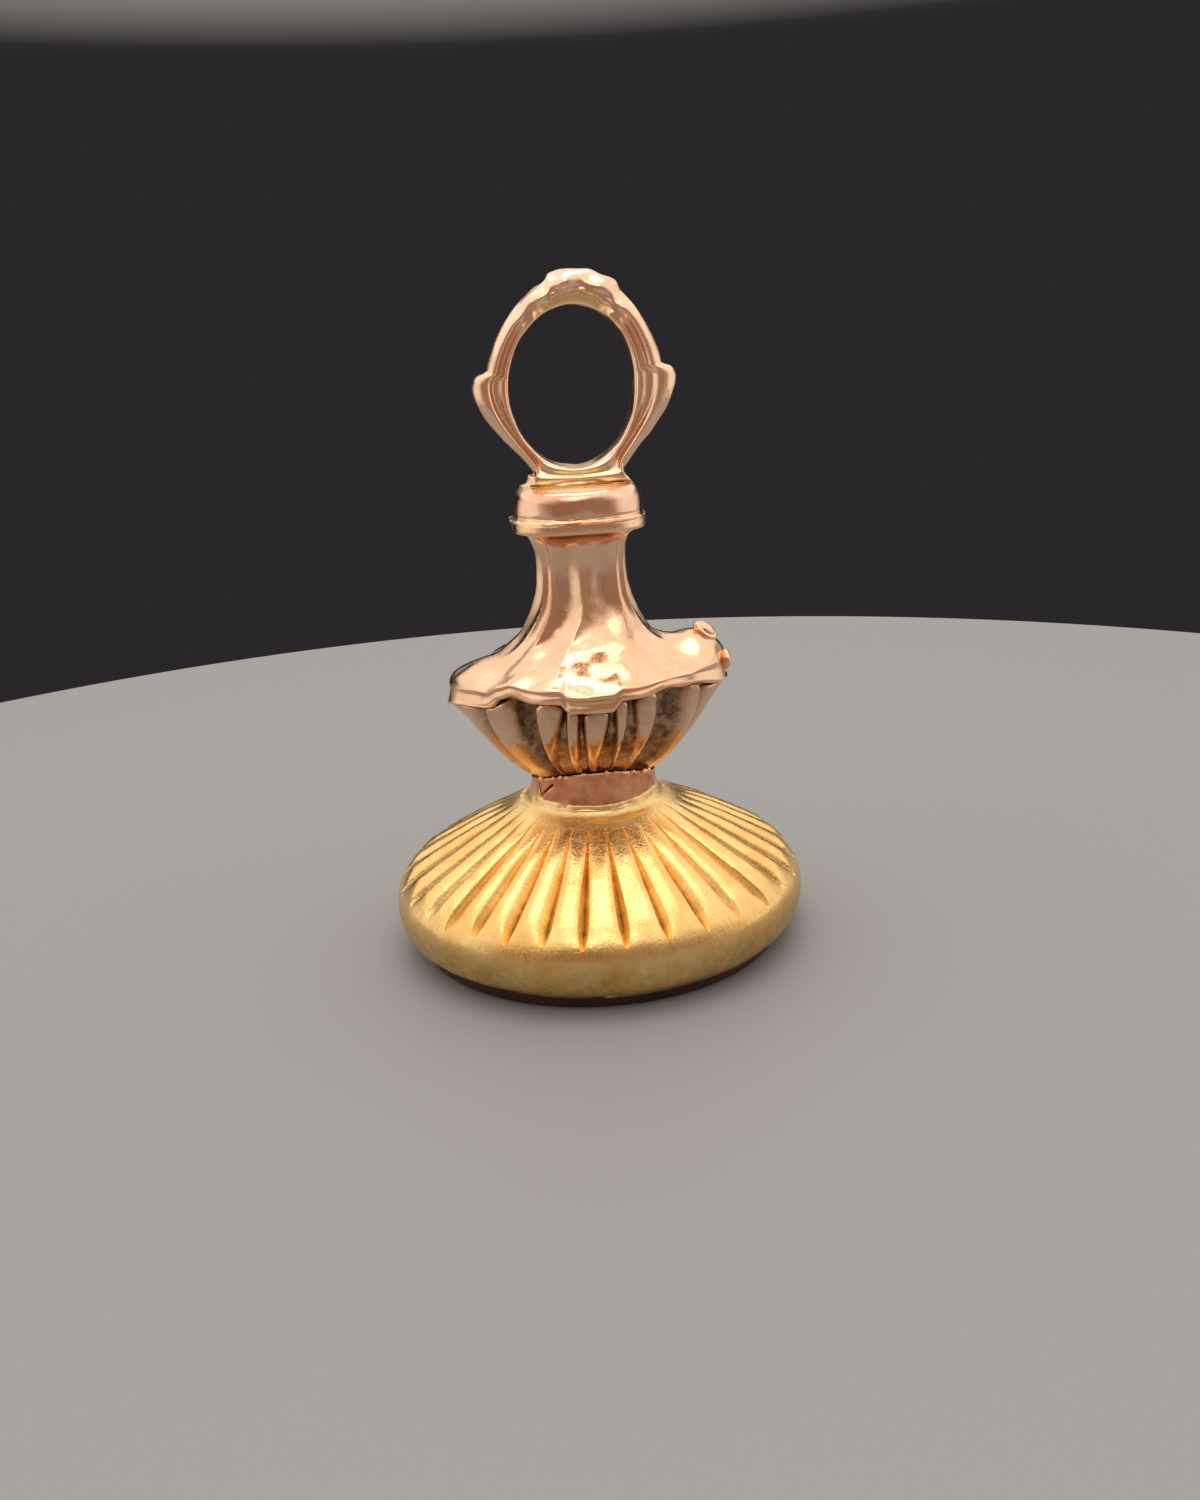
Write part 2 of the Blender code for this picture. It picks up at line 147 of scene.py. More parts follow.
def through(keys, steps):
    """A smooth curve through key rows: each gap is a Catmull-Rom cubic, and a key given twice is a corner."""
    keys = np.asarray(keys, float)
    padded = np.concatenate([keys[:1], keys, keys[-1:]])
    samples = []
    for k, count in enumerate(steps):
        before, here, there, after = padded[k : k + 4]
        if np.allclose(here, there):
            continue
        t = (np.arange(count) / count)[:, None]
        bend = (2 * before - 5 * here + 4 * there - after) * t**2
        twist = (3 * here - before - 3 * there + after) * t**3
        samples.append(here + ((there - before) * t + bend + twist) / 2)
    samples.append(keys[-1:])
    return np.concatenate(samples)


RIPPLE_WAVES = 9


def ripple(points, length, seed):
    """Smooth hand-made unevenness, mostly from -1 to 1: a sum of sine waves in scattered directions."""
    draw = np.random.default_rng(seed)
    total = np.zeros(points.shape[:-1])
    for _ in range(RIPPLE_WAVES):
        direction = draw.normal(size=3)
        direction *= 2 * math.pi / length / np.linalg.norm(direction)
        total += np.sin(points @ direction * draw.uniform(0.6, 1.6) + draw.uniform(0.0, 2 * math.pi))
    return 2.0 * total / RIPPLE_WAVES


def uneven(points, *ripples):
    """A sum of ripples, each given by its height and its length in millimetres and the seed of its draws."""
    return sum(height * MM * ripple(points, length * MM, seed) for height, length, seed in ripples)


def skin(name, grid, joined=False, **marks):
    """One closed mesh over rows of points: capped at both ends, or joined end to end where it is a ring.

    Its faces point outwards, because the signed volume of its corners is made positive. Marks are numbers for
    each point, such as how much painted shade and dirt darken it there, and they become attributes that a
    finish can read.
    """
    rows, columns = grid.shape[:2]
    index = np.arange(rows * columns).reshape(rows, columns)
    lower = index if joined else index[:-1]
    upper = np.roll(index, -1, axis=0) if joined else index[1:]
    quads = np.stack([lower, np.roll(lower, -1, axis=1), np.roll(upper, -1, axis=1), upper], axis=-1)
    quads = quads.reshape(-1, 4)
    points = grid.reshape(-1, 3)
    caps = np.zeros((0, 3), int)
    if not joined:
        points = np.concatenate([points, grid[:1].mean(axis=1), grid[-1:].mean(axis=1)])
        hubs = np.full((2, columns), [[rows * columns], [rows * columns + 1]])
        foot = np.stack([np.roll(index[0], -1), index[0], hubs[0]], axis=-1)
        head = np.stack([index[-1], np.roll(index[-1], -1), hubs[1]], axis=-1)
        caps = np.concatenate([foot, head])
    a, b, c, d = (points[quads[:, k]] for k in range(4))
    volume = np.sum(a * np.cross(b, c)) + np.sum(a * np.cross(c, d))
    volume += np.sum(points[caps[:, 0]] * np.cross(points[caps[:, 1]], points[caps[:, 2]]))
    if volume < 0:
        quads, caps = quads[:, ::-1], caps[:, ::-1]
    corners = np.concatenate([quads.ravel(), caps.ravel()])
    sizes = np.concatenate([np.full(len(quads), 4), np.full(len(caps), 3)])
    mesh = bpy.data.meshes.new(name)
    mesh.vertices.add(len(points))
    mesh.vertices.foreach_set("co", points.ravel())
    mesh.loops.add(len(corners))
    mesh.loops.foreach_set("vertex_index", corners)
    mesh.polygons.add(len(sizes))
    mesh.polygons.foreach_set("loop_start", np.cumsum(sizes) - sizes)
    mesh.update(calc_edges=True)
    for mark, values in marks.items():
        flat = np.broadcast_to(values, (rows, columns)).ravel()
        flat = np.concatenate([flat, [flat[0], flat[-1]][: len(points) - len(flat)]])
        mesh.attributes.new(mark, "FLOAT", "POINT").data.foreach_set("value", flat)
    return mesh


def show(mesh, finish, slot, sharp_degrees, *nodes):
    """Puts a mesh into the scene as a piece that stands for its node, shaded smooth up to an angle."""
    piece = bpy.data.objects.new(mesh.name, mesh)
    bpy.context.scene.collection.objects.link(piece)
    mesh.materials.append(finish)
    mesh.shade_smooth()
    mesh.set_sharp_from_angle(angle=math.radians(sharp_degrees))
    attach(piece, "root")
    if nodes:
        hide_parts(*nodes)
    mesh.calc_loop_triangles()
    print(piece.name, len(mesh.loop_triangles), "triangles")


# %% [markdown]
# ## Finishes from sums
#
# A finish is a small net of shader nodes. Written with a class that wraps a socket, the net reads like the
# sum that it is: adding two sockets adds a Math node. Every other node comes from one method, which takes
# the kind of node, its settings, and what goes into its sockets.


# %% helpers for finishes
class Value:
    """An output socket that takes part in Python sums; each operator adds one Math node to its net."""

    def __init__(self, net, socket):
        self.net = net
        self.socket = socket

    def maths(self, operation, first, second):
        return self.net.maths(operation, first, second)

    def __add__(self, other):
        return self.maths("ADD", self, other)

    def __radd__(self, other):
        return self.maths("ADD", other, self)

    def __sub__(self, other):
        return self.maths("SUBTRACT", self, other)

    def __rsub__(self, other):
        return self.maths("SUBTRACT", other, self)

    def __mul__(self, other):
        return self.maths("MULTIPLY", self, other)

    def __rmul__(self, other):
        return self.maths("MULTIPLY", other, self)

    def least(self, other):
        return self.maths("MINIMUM", self, other)


class Net:
    """The nodes of a material or of the world, and one method that adds any of them."""

    def __init__(self, owner, shader):
        owner.use_nodes = True
        self.owner = owner
        self.nodes = owner.node_tree.nodes
        self.links = owner.node_tree.links
        self.shader = self.nodes[shader]

    def feed(self, socket, value):
        """A value is linked, and a plain number or colour is set on the socket itself."""
        if isinstance(value, Value):
            self.links.new(value.socket, socket)
        else:
            socket.default_value = value

    def node(self, kind, settings, inputs, give=0):
        """Adds a node: first its settings, a ramp's stops among them, then its sockets by name or number."""
        node = self.nodes.new(kind)
        for setting, value in settings.items():
            if setting == "stops":
                ramp = node.color_ramp.elements
                while len(ramp) < len(value):
                    ramp.new(1.0)
                for stop, (place, shade) in zip(ramp, value):
                    stop.position = place
                    stop.color = (shade, shade, shade, 1.0)
            else:
                setattr(node, setting, value)
        for name, value in inputs.items():
            self.feed(node.inputs[name], value)
        return Value(self, node.outputs[give])

    def maths(self, operation, first, second):
        """One Math node on two numbers, sockets or plain."""
        return self.node("ShaderNodeMath", {"operation": operation}, {0: first, 1: second})

    def place(self, stretch=(1.0, 1.0, 1.0), turn=(0.0, 0.0, 0.0)):
        """The point in the object's own coordinates, in metres, stretched and turned."""
        point = self.node("ShaderNodeTexCoord", {}, {}, "Object")
        return self.node("ShaderNodeMapping", {}, {"Vector": point, "Rotation": turn, "Scale": stretch})

    def noise(self, place, size, detail=2.0, rough=0.5):
        """Cloudy noise whose lumps are about this long, in metres."""
        inputs = {"Vector": place, "Scale": 1.0 / size, "Detail": detail, "Roughness": rough}
        return self.node("ShaderNodeTexNoise", {}, inputs)

    def ramp(self, value, low, high, from_shade=0.0, to_shade=1.0):
        """A straight ramp from one shade at low to another at high."""
        stops = [(low, from_shade), (high, to_shade)]
        return self.node("ShaderNodeValToRGB", {"stops": stops}, {"Fac": value})

    def mix(self, share, first, second):
        """Colours mixed by a share."""
        inputs = {0: share, 6: first, 7: second}
        return self.node("ShaderNodeMix", {"data_type": "RGBA"}, inputs, 2)

    def mark(self, name):
        """A number that the mesh carries at each of its points."""
        return self.node("ShaderNodeAttribute", {"attribute_name": name}, {}, "Fac")

    def bump(self, height, depth, strength=1.0, under=None):
        """Bends the normal as if the surface rose by depth, in metres, where the height is 1."""
        inputs = {"Height": height, "Distance": depth, "Strength": strength}
        if under is not None:
            inputs["Normal"] = under
        return self.node("ShaderNodeBump", {}, inputs)

    def lines(self, turn, width, long, fine):
        """Short fine scratches: thin level lines of a noise that is stretched along one direction."""
        place = self.place(stretch=(1.0, 1.0, width / long), turn=turn)
        field = self.noise(place, width, 1.0)
        return self.ramp(self.maths("ABSOLUTE", field - 0.5, 0.0), 0.0, fine, 1.0, 0.0)

    def finish(self, **sockets):
        """Feeds the shader's sockets, named with underscores for spaces, and gives the material or world."""
        for name, value in sockets.items():
            self.feed(self.shader.inputs[name.replace("_", " ")], value)
        return self.owner


def finish_net(name):
    """A new material with a Principled shader, ready for its nodes."""
    return Net(bpy.data.materials.new(name), "Principled BSDF")


# %% [markdown]
# ## Golds
#
# The seal is made of golds of different colours: a satin yellow mount, a copper-coloured collar and rosier
# polished castings, with yellow solder where they meet. Gold is a metal, so its colour is the colour of its
# mirror image: the base colour tints what it reflects. What tells one gold from another is then the tint,
# the roughness, and the small marks that break the reflection: pits and scratches, and in the hollows a
# little dirt with painted shade that darkens the tint.


# %% the gold finish
SOLDER = (1.00, 0.80, 0.42)
# How bright the painted shade and dirt in the hollows is, as a share of the deep tint
SHADE_AND_DIRT_TONE = 0.16


def gold(name, pale, deep, patch, roughness, pit_depth, scratch_depth):
    """Polished or satin gold: two mottled tints, painted shade and dirt in hollows, yellow where solder ran.

    The size of its patches and the depths of its pits and scratches are in millimetres.
    """
    made = finish_net(name)
    cloud = made.noise(made.place(), patch * MM, 3.0, 0.6)
    hollow = made.mark("hollow")
    soldered = made.mark("solder")
    tint = made.mix(made.ramp(cloud, 0.32, 0.68), (*pale, 1.0), (*deep, 1.0))
    tint = made.mix(soldered, tint, (*SOLDER, 1.0))
    # Painted shade with a little dirt: marked hollows are darkened towards a dark copy of the deep tint,
    # broken up by a noise, and made rougher
    shade_and_dirt_colour = tuple(SHADE_AND_DIRT_TONE * v for v in deep)
    shade_and_dirt_noise = made.noise(made.place(), 0.5 * MM, 3.0, 0.65)
    shade_and_dirt_share = (hollow * made.ramp(shade_and_dirt_noise, 0.35, 0.62, 0.55, 1.0)).least(1.0)
    tint = made.mix(shade_and_dirt_share, tint, (*shade_and_dirt_colour, 1.0))

    pits = made.ramp(made.noise(made.place(), 0.16 * MM, 2.5, 0.55), 0.30, 0.60)
    fine = made.lines((0.3, 0.9, 0.4), 0.5 * MM, 5.0 * MM, 0.010)
    cross = made.lines((1.1, -0.5, 0.9), 0.7 * MM, 6.0 * MM, 0.008)
    scratched = (fine + cross).least(1.0)
    smudge = made.noise(made.place(), 1.1 * MM, 2.0)
    handled = 0.10 * made.ramp(smudge, 0.40, 0.72) + 0.08 * scratched
    rough = roughness + handled + 0.20 * shade_and_dirt_share + 0.34 * soldered
    pitted = made.bump(pits, pit_depth * MM)
    marked = made.bump(1.0 - scratched, scratch_depth * MM, under=pitted)
    return made.finish(Base_Color=tint, Metallic=1.0, Roughness=rough, Normal=marked)


mount_gold = gold("satin yellow gold", (1.00, 0.69, 0.29), (0.90, 0.53, 0.17), 1.6, 0.22, 0.0042, 0.0035)
collar_gold = gold("copper gold", (1.00, 0.50, 0.28), (0.66, 0.19, 0.07), 1.2, 0.13, 0.0016, 0.0025)
stem_gold = gold("rose gold", (0.98, 0.67, 0.46), (0.92, 0.54, 0.32), 2.4, 0.13, 0.0014, 0.0025)
bead_gold = gold("polished bead gold", (0.96, 0.63, 0.45), (0.86, 0.44, 0.28), 1.6, 0.10, 0.0010, 0.0015)
loop_gold = gold("worn loop gold", (1.00, 0.72, 0.52), (0.95, 0.58, 0.38), 2.0, 0.15, 0.0018, 0.0020)

# %% [markdown]
# ## The stone
#
# The seal stands on a flat oval of dark red-brown stone, polished all over, of which only a thin dark line
# shows under the gold. It is a turned shape in all but its oval plan: one profile with a small rounded
# bevel at the foot, carried round an oval.

# %% the polished stone
STONE_BEVEL = 0.3 * MM
STONE_INNER_RING = 4.0 * MM
STONE_COLUMNS = 256


def stone_finish():
    """A polished hardstone: dark red-brown with darker clouds and a few paler specks, under a clear gloss."""
    made = finish_net("polished red-brown stone")
    cloud = made.ramp(made.noise(made.place(), 3.0 * MM, 4.0, 0.65), 0.35, 0.65)
    colour = made.mix(cloud, (0.018, 0.004, 0.003, 1.0), (0.060, 0.011, 0.008, 1.0))
    speck = made.ramp(made.noise(made.place(), 0.35 * MM, 2.0), 0.66, 0.74)
    colour = made.mix(0.5 * speck, colour, (0.12, 0.03, 0.02, 1.0))
    rough = 0.09 + 0.10 * speck
    return made.finish(Base_Color=colour, Roughness=rough)


def stone_grid():
    """Rings of one profile: half of each side less an inset, where the inset follows a quarter circle."""
    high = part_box("seal_stone")[1]
    quarter = np.linspace(0.0, math.pi / 2, 9)
    bevel_in, bevel_up = STONE_BEVEL * (1 - np.sin(quarter)), STONE_BEVEL * (1 - np.cos(quarter))
    insets = np.concatenate([[STONE_INNER_RING, 1.6 * STONE_BEVEL], bevel_in, [0.0, STONE_BEVEL]])
    heights = np.concatenate([[0.0, 0.0], bevel_up, [high.z - STONE_BEVEL, high.z]])
    x, y = oval(all_round(STONE_COLUMNS), (high.x - insets)[:, None], (high.y - insets)[:, None])
    return points_of(x, y, heights[:, None])


show(skin("polished_stone", stone_grid()), stone_finish(), "stone", 40.0, "seal_stone")

# %% [markdown]
# ## The fluted mount
#
# The mount is a low dome of sheet gold, cut by hand with a graver: each groove starts as a hair line near
# the collar, widens down the slope and ends in a point like a leaf. No two are quite alike. A groove could
# be a cutter in a Boolean, once for each, but then its edges would be jagged. Here the columns of the grid
# run along the groove's own edges, so each edge is crisp, and the land between two grooves is softly
# pillowed.

# %% the mount's outline and grooves
GROOVES = 32
GROOVE_DEPTH = 0.42 * MM
GROOVE_WIDTH = 0.60 * MM
GROOVE_START = math.radians(2.2)
# The spacing drifts at the left: by how much at most, and where and how widely, in degrees from the front
GROOVE_DRIFT = math.radians(6.5)
GROOVE_DRIFT_SIDE = -80.0
GROOVE_DRIFT_SPREAD = 42.0
GROOVE_SLIP = 0.006
GROOVE_WIDEST = 0.86
GROOVE_POINT = 0.965
HAIR_WIDTH = 0.008 * MM
LAND_RISE = 0.13 * MM
# Height and length in millimetres and seed of each unevenness, and how far the skin is set back for them
MOUNT_DENTS = ((0.022, 3.2, 3), (0.004, 0.8, 4))
MOUNT_SET_BACK = 0.03 * MM
NICK_DEPTH = 0.16 * MM
FACET_DEPTH = 0.20 * MM
SOLDER_RUN = (4.0 * MM, 4.8 * MM)
# Share of the way out from the collar, and share of the height
MOUNT_KEYS = (
    (0.000, 1.000),
    (0.030, 0.972),
    (0.100, 0.935),
    (0.220, 0.866),
    (0.500, 0.706),
    (0.760, 0.556),
    (0.900, 0.460),
    (0.970, 0.378),
    (1.000, 0.270),
    (0.990, 0.160),
    (0.955, 0.060),
    (0.897, 0.000),
)
MOUNT_STEPS = (3, 6, 9, 18, 18, 14, 12, 7, 7, 7, 7)


def groove_layout():
    """Each groove's middle angle, by even spacing, a drift at one side and a slip; and three chances."""
    draw = np.random.default_rng(7)
    middles = GROOVE_START + all_round(GROOVES)
    drift = GROOVE_DRIFT * bell(middles, GROOVE_DRIFT_SIDE, GROOVE_DRIFT_SPREAD)
    slip = draw.uniform(-GROOVE_SLIP, GROOVE_SLIP, GROOVES)
    return middles + drift + slip, draw.uniform(0.0, 1.0, (3, GROOVES))


def mount_grid():
    """The dome's profile carried round an oval, with each groove a V that is pressed in along the normal.

    The V's half width grows from the groove's start to its widest, then closes like a leaf. Its depth falls
    nearly straight from the middle to the edge. The land rises as a power of 4x(1 - x) between two edges.
    """
    low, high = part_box("fluted_mount")
    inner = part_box("collar")[1].x
    out, up = through(MOUNT_KEYS, MOUNT_STEPS).T
    half_length = inner + out * (high.x - inner)
    half_depth = inner + out * (high.y - inner)
    height = low.z + up * (high.z - low.z)
    slope_out, slope_up = np.gradient(half_length), np.gradient(height)
    length = np.hypot(slope_out, slope_up)
    normal_out, normal_up = -slope_up / length, slope_out / length

    middles, chance = groove_layout()
    start = 0.02 + 0.12 * np.abs(np.cos(middles)) ** 1.5 + 0.05 * chance[0]
    point = GROOVE_POINT + 0.02 * (chance[1] - 0.5)
    widest = GROOVE_WIDEST + 0.05 * (chance[2] - 0.5)
    along = out[:, None]
    opening = 0.12 + 0.88 * step_up(along, start, widest) ** 0.8
    leaf = np.sqrt(np.clip(1.0 - np.clip((along - widest) / (point - widest), 0.0, 1.0) ** 1.6, 0.0, 1.0))
    begun = step_up(along, start - 0.02, start + 0.06)
    outside = np.arange(len(out)) < np.argmax(out)
    alive = begun * leaf * outside[:, None]
    half_width = GROOVE_WIDTH / 2 * opening * alive * (0.9 + 0.2 * chance[0])
    depth = GROOVE_DEPTH * opening**0.7 * alive * (0.85 + 0.3 * chance[1])

    across = np.linspace(-1.0, 1.0, 9)
    land = np.linspace(0.0, 1.0, 10)[1:-1]
    edge = (half_width + HAIR_WIDTH) / half_length[:, None]
    in_groove = middles[:, None] + edge[:, :, None] * across
    gap = (np.roll(middles - edge, -1, axis=1) - (middles + edge)) % (2 * math.pi)
    on_land = (middles + edge)[:, :, None] + gap[:, :, None] * land
    angles = np.concatenate([in_groove, on_land], axis=2).reshape(len(out), -1)

    cut = -depth[:, :, None] * (1.0 - np.abs(across)) ** 0.9
    slope_share = step_up(out, 0.1, 0.45) * (1.0 - step_up(out, 0.84, 0.97)) * outside
    rise = LAND_RISE * slope_share[:, None] * (0.55 + 0.9 * np.abs(np.sin(middles)))
    swell = rise[:, :, None] * (4.0 * land * (1.0 - land)) ** 0.7
    relief = np.concatenate([cut, swell], axis=2).reshape(len(out), -1)
    hollow = np.concatenate([-cut / GROOVE_DEPTH, np.zeros_like(swell)], axis=2).reshape(len(out), -1)

    plain = points_of(*oval(angles, half_length[:, None], half_depth[:, None]), height[:, None])
    relief = relief + uneven(plain, *MOUNT_DENTS) - MOUNT_SET_BACK
    shift = normal_out[:, None] * relief
    x, y = oval(angles, half_length[:, None] + shift, half_depth[:, None] + shift)
    grid = points_of(x, y, height[:, None] + normal_up[:, None] * relief)
    grid, worn = wear_rim(grid, angles, up)
    # Painted shade: the tint darkens in the grooves, and towards the rim's lower edge, where a painted dark
    # reflection lies over a little tarnish; worn spots are left out
    rim_shade_and_tarnish = 0.45 * (1.0 - step_up(up, 0.14, 0.42))[:, None] * (1.0 + 0.25 * ripple(plain, 3.0 * MM, 5))
    groove_shade = 0.75 * hollow**1.5 * step_up(out, 0.04, 0.30)[:, None]
    return grid, angles, np.clip(groove_shade + rim_shade_and_tarnish * (1.0 - worn), 0.0, 1.0), worn


def wear_rim(grid, angles, up):
    """Nicks and two rubbed facets on the rim's lower edge: points there are drawn in and lifted."""
    near_edge = (1.0 - step_up(up, 0.0, 0.09))[:, None]
    nicks = np.clip(ripple(grid, 0.9 * MM, 11) - 0.35, 0.0, 1.0) * near_edge
    rubbed = bell(angles, -52.0, 26.0) + bell(angles, 63.0, 9.0)
    facet = rubbed * near_edge * (0.75 + 0.25 * ripple(grid, 1.6 * MM, 12))
    pull = NICK_DEPTH * nicks + FACET_DEPTH * np.clip(facet, 0.0, 1.0)
    shrink = 1.0 - pull / np.hypot(grid[..., 0], grid[..., 1])
    worn = grid.copy()
    worn[..., 0] *= shrink
    worn[..., 1] *= shrink
    worn[..., 2] += 0.5 * pull * near_edge
    return worn, np.clip(nicks + facet, 0.0, 1.0)


def mount_skin():
    """The dome, then the lip that is turned in round the stone, and the floor above it."""
    grid, angles, hollow, worn = mount_grid()
    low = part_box("fluted_mount")[0]
    stone_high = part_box("seal_stone")[1]
    edge = angles[-1]
    length, depth, roof = stone_high.x + FIT, stone_high.y + FIT, stone_high.z + FIT
    rings = [
        points_of(*oval(edge, length + 0.12 * MM, depth + 0.12 * MM), low.z + 0.02 * MM),
        points_of(*oval(edge, length, depth), low.z + 0.10 * MM),
        points_of(*oval(edge, length, depth), roof),
        points_of(*oval(edge, stone_high.x / 2, stone_high.y / 2), roof),
    ]
    from_axis = np.hypot(grid[..., 0], grid[..., 1])
    solder = np.clip(0.5 * worn + 0.35 * (1.0 - step_up(from_axis, *SOLDER_RUN)), 0.0, 1.0)
    blank = np.zeros((len(rings), grid.shape[1]))
    hollow, solder = np.concatenate([hollow, blank]), np.concatenate([solder, blank])
    return skin("chased_mount", np.concatenate([grid, rings]), hollow=hollow, solder=solder)


show(mount_skin(), mount_gold, "mount_gold", 32.0, "fluted_mount")

# %% [markdown]
# ## The collar
#
# A short tube of redder gold hides the joint between mount and stem. Its foot flares where the solder drew
# it out, its top edge climbs at the front, and a split like a Y has opened at its left. A split is a groove
# along a few straight lines, so its depth is a bell curve of the distance to the nearest line.

# %% the collar
COLLAR_COLUMNS = 420
COLLAR_ROWS = 64
JOINT_RISE = 0.42 * MM
COLLAR_FLARE = 0.17 * MM
FLARE_HEIGHT = 0.16 * MM
COLLAR_DENT = 0.028 * MM
COLLAR_EDGE = 0.06 * MM
CRACK_WIDTH = 0.065 * MM
CRACK_DEPTH = 0.13 * MM
CRACK_LIP = 0.035 * MM
# The split's lines: degrees from the front and millimetres above the collar's foot, from end to end
SPLIT_LINES = (((-60.0, 0.45), (-45.0, 1.20)), ((-60.0, 0.45), (-65.0, 1.05)), ((-60.0, 0.45), (-56.0, 0.0)))


def joint_wave(angles):
    """The edge where collar and stem meet climbs at front and back: a cosine of twice the angle."""
    return JOINT_RISE * np.cos(2 * angles)


def from_line(across, up, first, last):
    """Distance of each point from a straight stretch between two points of the same plane."""
    run = (last[0] - first[0], last[1] - first[1])
    share = ((across - first[0]) * run[0] + (up - first[1]) * run[1]) / (run[0] ** 2 + run[1] ** 2)
    share = np.clip(share, 0.0, 1.0)
    return np.hypot(across - first[0] - share * run[0], up - first[1] - share * run[1])


def collar_skin():
    """A tube: its radius is the plain radius, a flare that dies away upwards, and the split pressed in."""
    low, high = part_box("collar")
    tall = high.z - low.z - JOINT_RISE
    radius = high.x - COLLAR_FLARE
    angles = all_round(COLLAR_COLUMNS)
    share = np.linspace(0.0, 1.0, COLLAR_ROWS)[:, None]
    up = share * (tall + joint_wave(angles))
    z = low.z + up
    around = radius * turned(angles, 0.0) * np.ones_like(share)
    split = np.full_like(up, 1.0)
    for first, last in SPLIT_LINES:
        ends = [(radius * math.radians(degrees), height * MM) for degrees, height in (first, last)]
        split = np.minimum(split, from_line(around, up, *ends))
    crack = hump(split, 0.0, CRACK_WIDTH)
    lifted = hump(around, radius * math.radians(-57.0), 0.5 * MM) * hump(up, 0.3 * MM, 0.5 * MM)
    plain = points_of(radius * np.sin(angles), -radius * np.cos(angles), z)
    reach = radius + (COLLAR_FLARE + uneven(plain, (0.015, 0.8, 20))) * np.exp(-up / FLARE_HEIGHT)
    reach += COLLAR_DENT * (ripple(plain, 1.3 * MM, 21) - 1.0) - CRACK_DEPTH * crack + CRACK_LIP * lifted
    reach -= COLLAR_EDGE * step_up(share, 0.95, 1.0)
    grid = points_of(reach * np.sin(angles), -reach * np.cos(angles), z)
    smear = np.exp(-up / (0.12 * MM)) + 0.5 * ripple(plain, 0.7 * MM, 23) * (share > 0.93)
    solder = 0.8 * np.clip(smear, 0.0, 1.0)
    # Painted shade darkens the split
    return skin("rose_collar", grid, hollow=np.clip(1.6 * crack, 0.0, 1.0), solder=solder)


show(collar_skin(), collar_gold, "collar_gold", 40.0, "collar")

# %% [markdown]
# ## The stem
#
# The stem is one casting, and most of the seal's character is in it: petals climb from the collar, a thick
# wavy lip hangs over them, two lobes reach out to the sides, and the shoulder slopes up like a drape into a
# waisted neck with hollow channels. It could be sculpted, but here all of it is one function of the angle
# and of the share of the height. A table gives the profile, and how much each row takes of the petals, of
# the lobes, of the lip's wave, of the channels and of the drape.

# %% the stem's profile
STEM_COLUMNS = 480
KNOP_HALF_LENGTH = 6.3 * MM
KNOP_HALF_DEPTH = 6.0 * MM
LOBE_REACH = 1.32 * MM
LOBE_SPREAD = 25.0
RIGHT_CURL = 0.95 * MM
LEFT_CURL = 0.10 * MM
RIGHT_SAG = 0.20 * MM
VALLEY = 0.30 * MM
MIDDLE_BULGE = 0.14 * MM
UNDERCUT = 0.30 * MM
# Height and length in millimetres and seed of the unevenness of the lip, the shoulder and the whole stem
LIP_DENTS = (0.10, 2.2, 31)
LIP_WAVER = (0.05, 2.1, 34)
SHOULDER_DENTS = ((0.035, 1.7, 32), (0.006, 0.7, 35))
STEM_DENTS = (0.008, 0.9, 33)
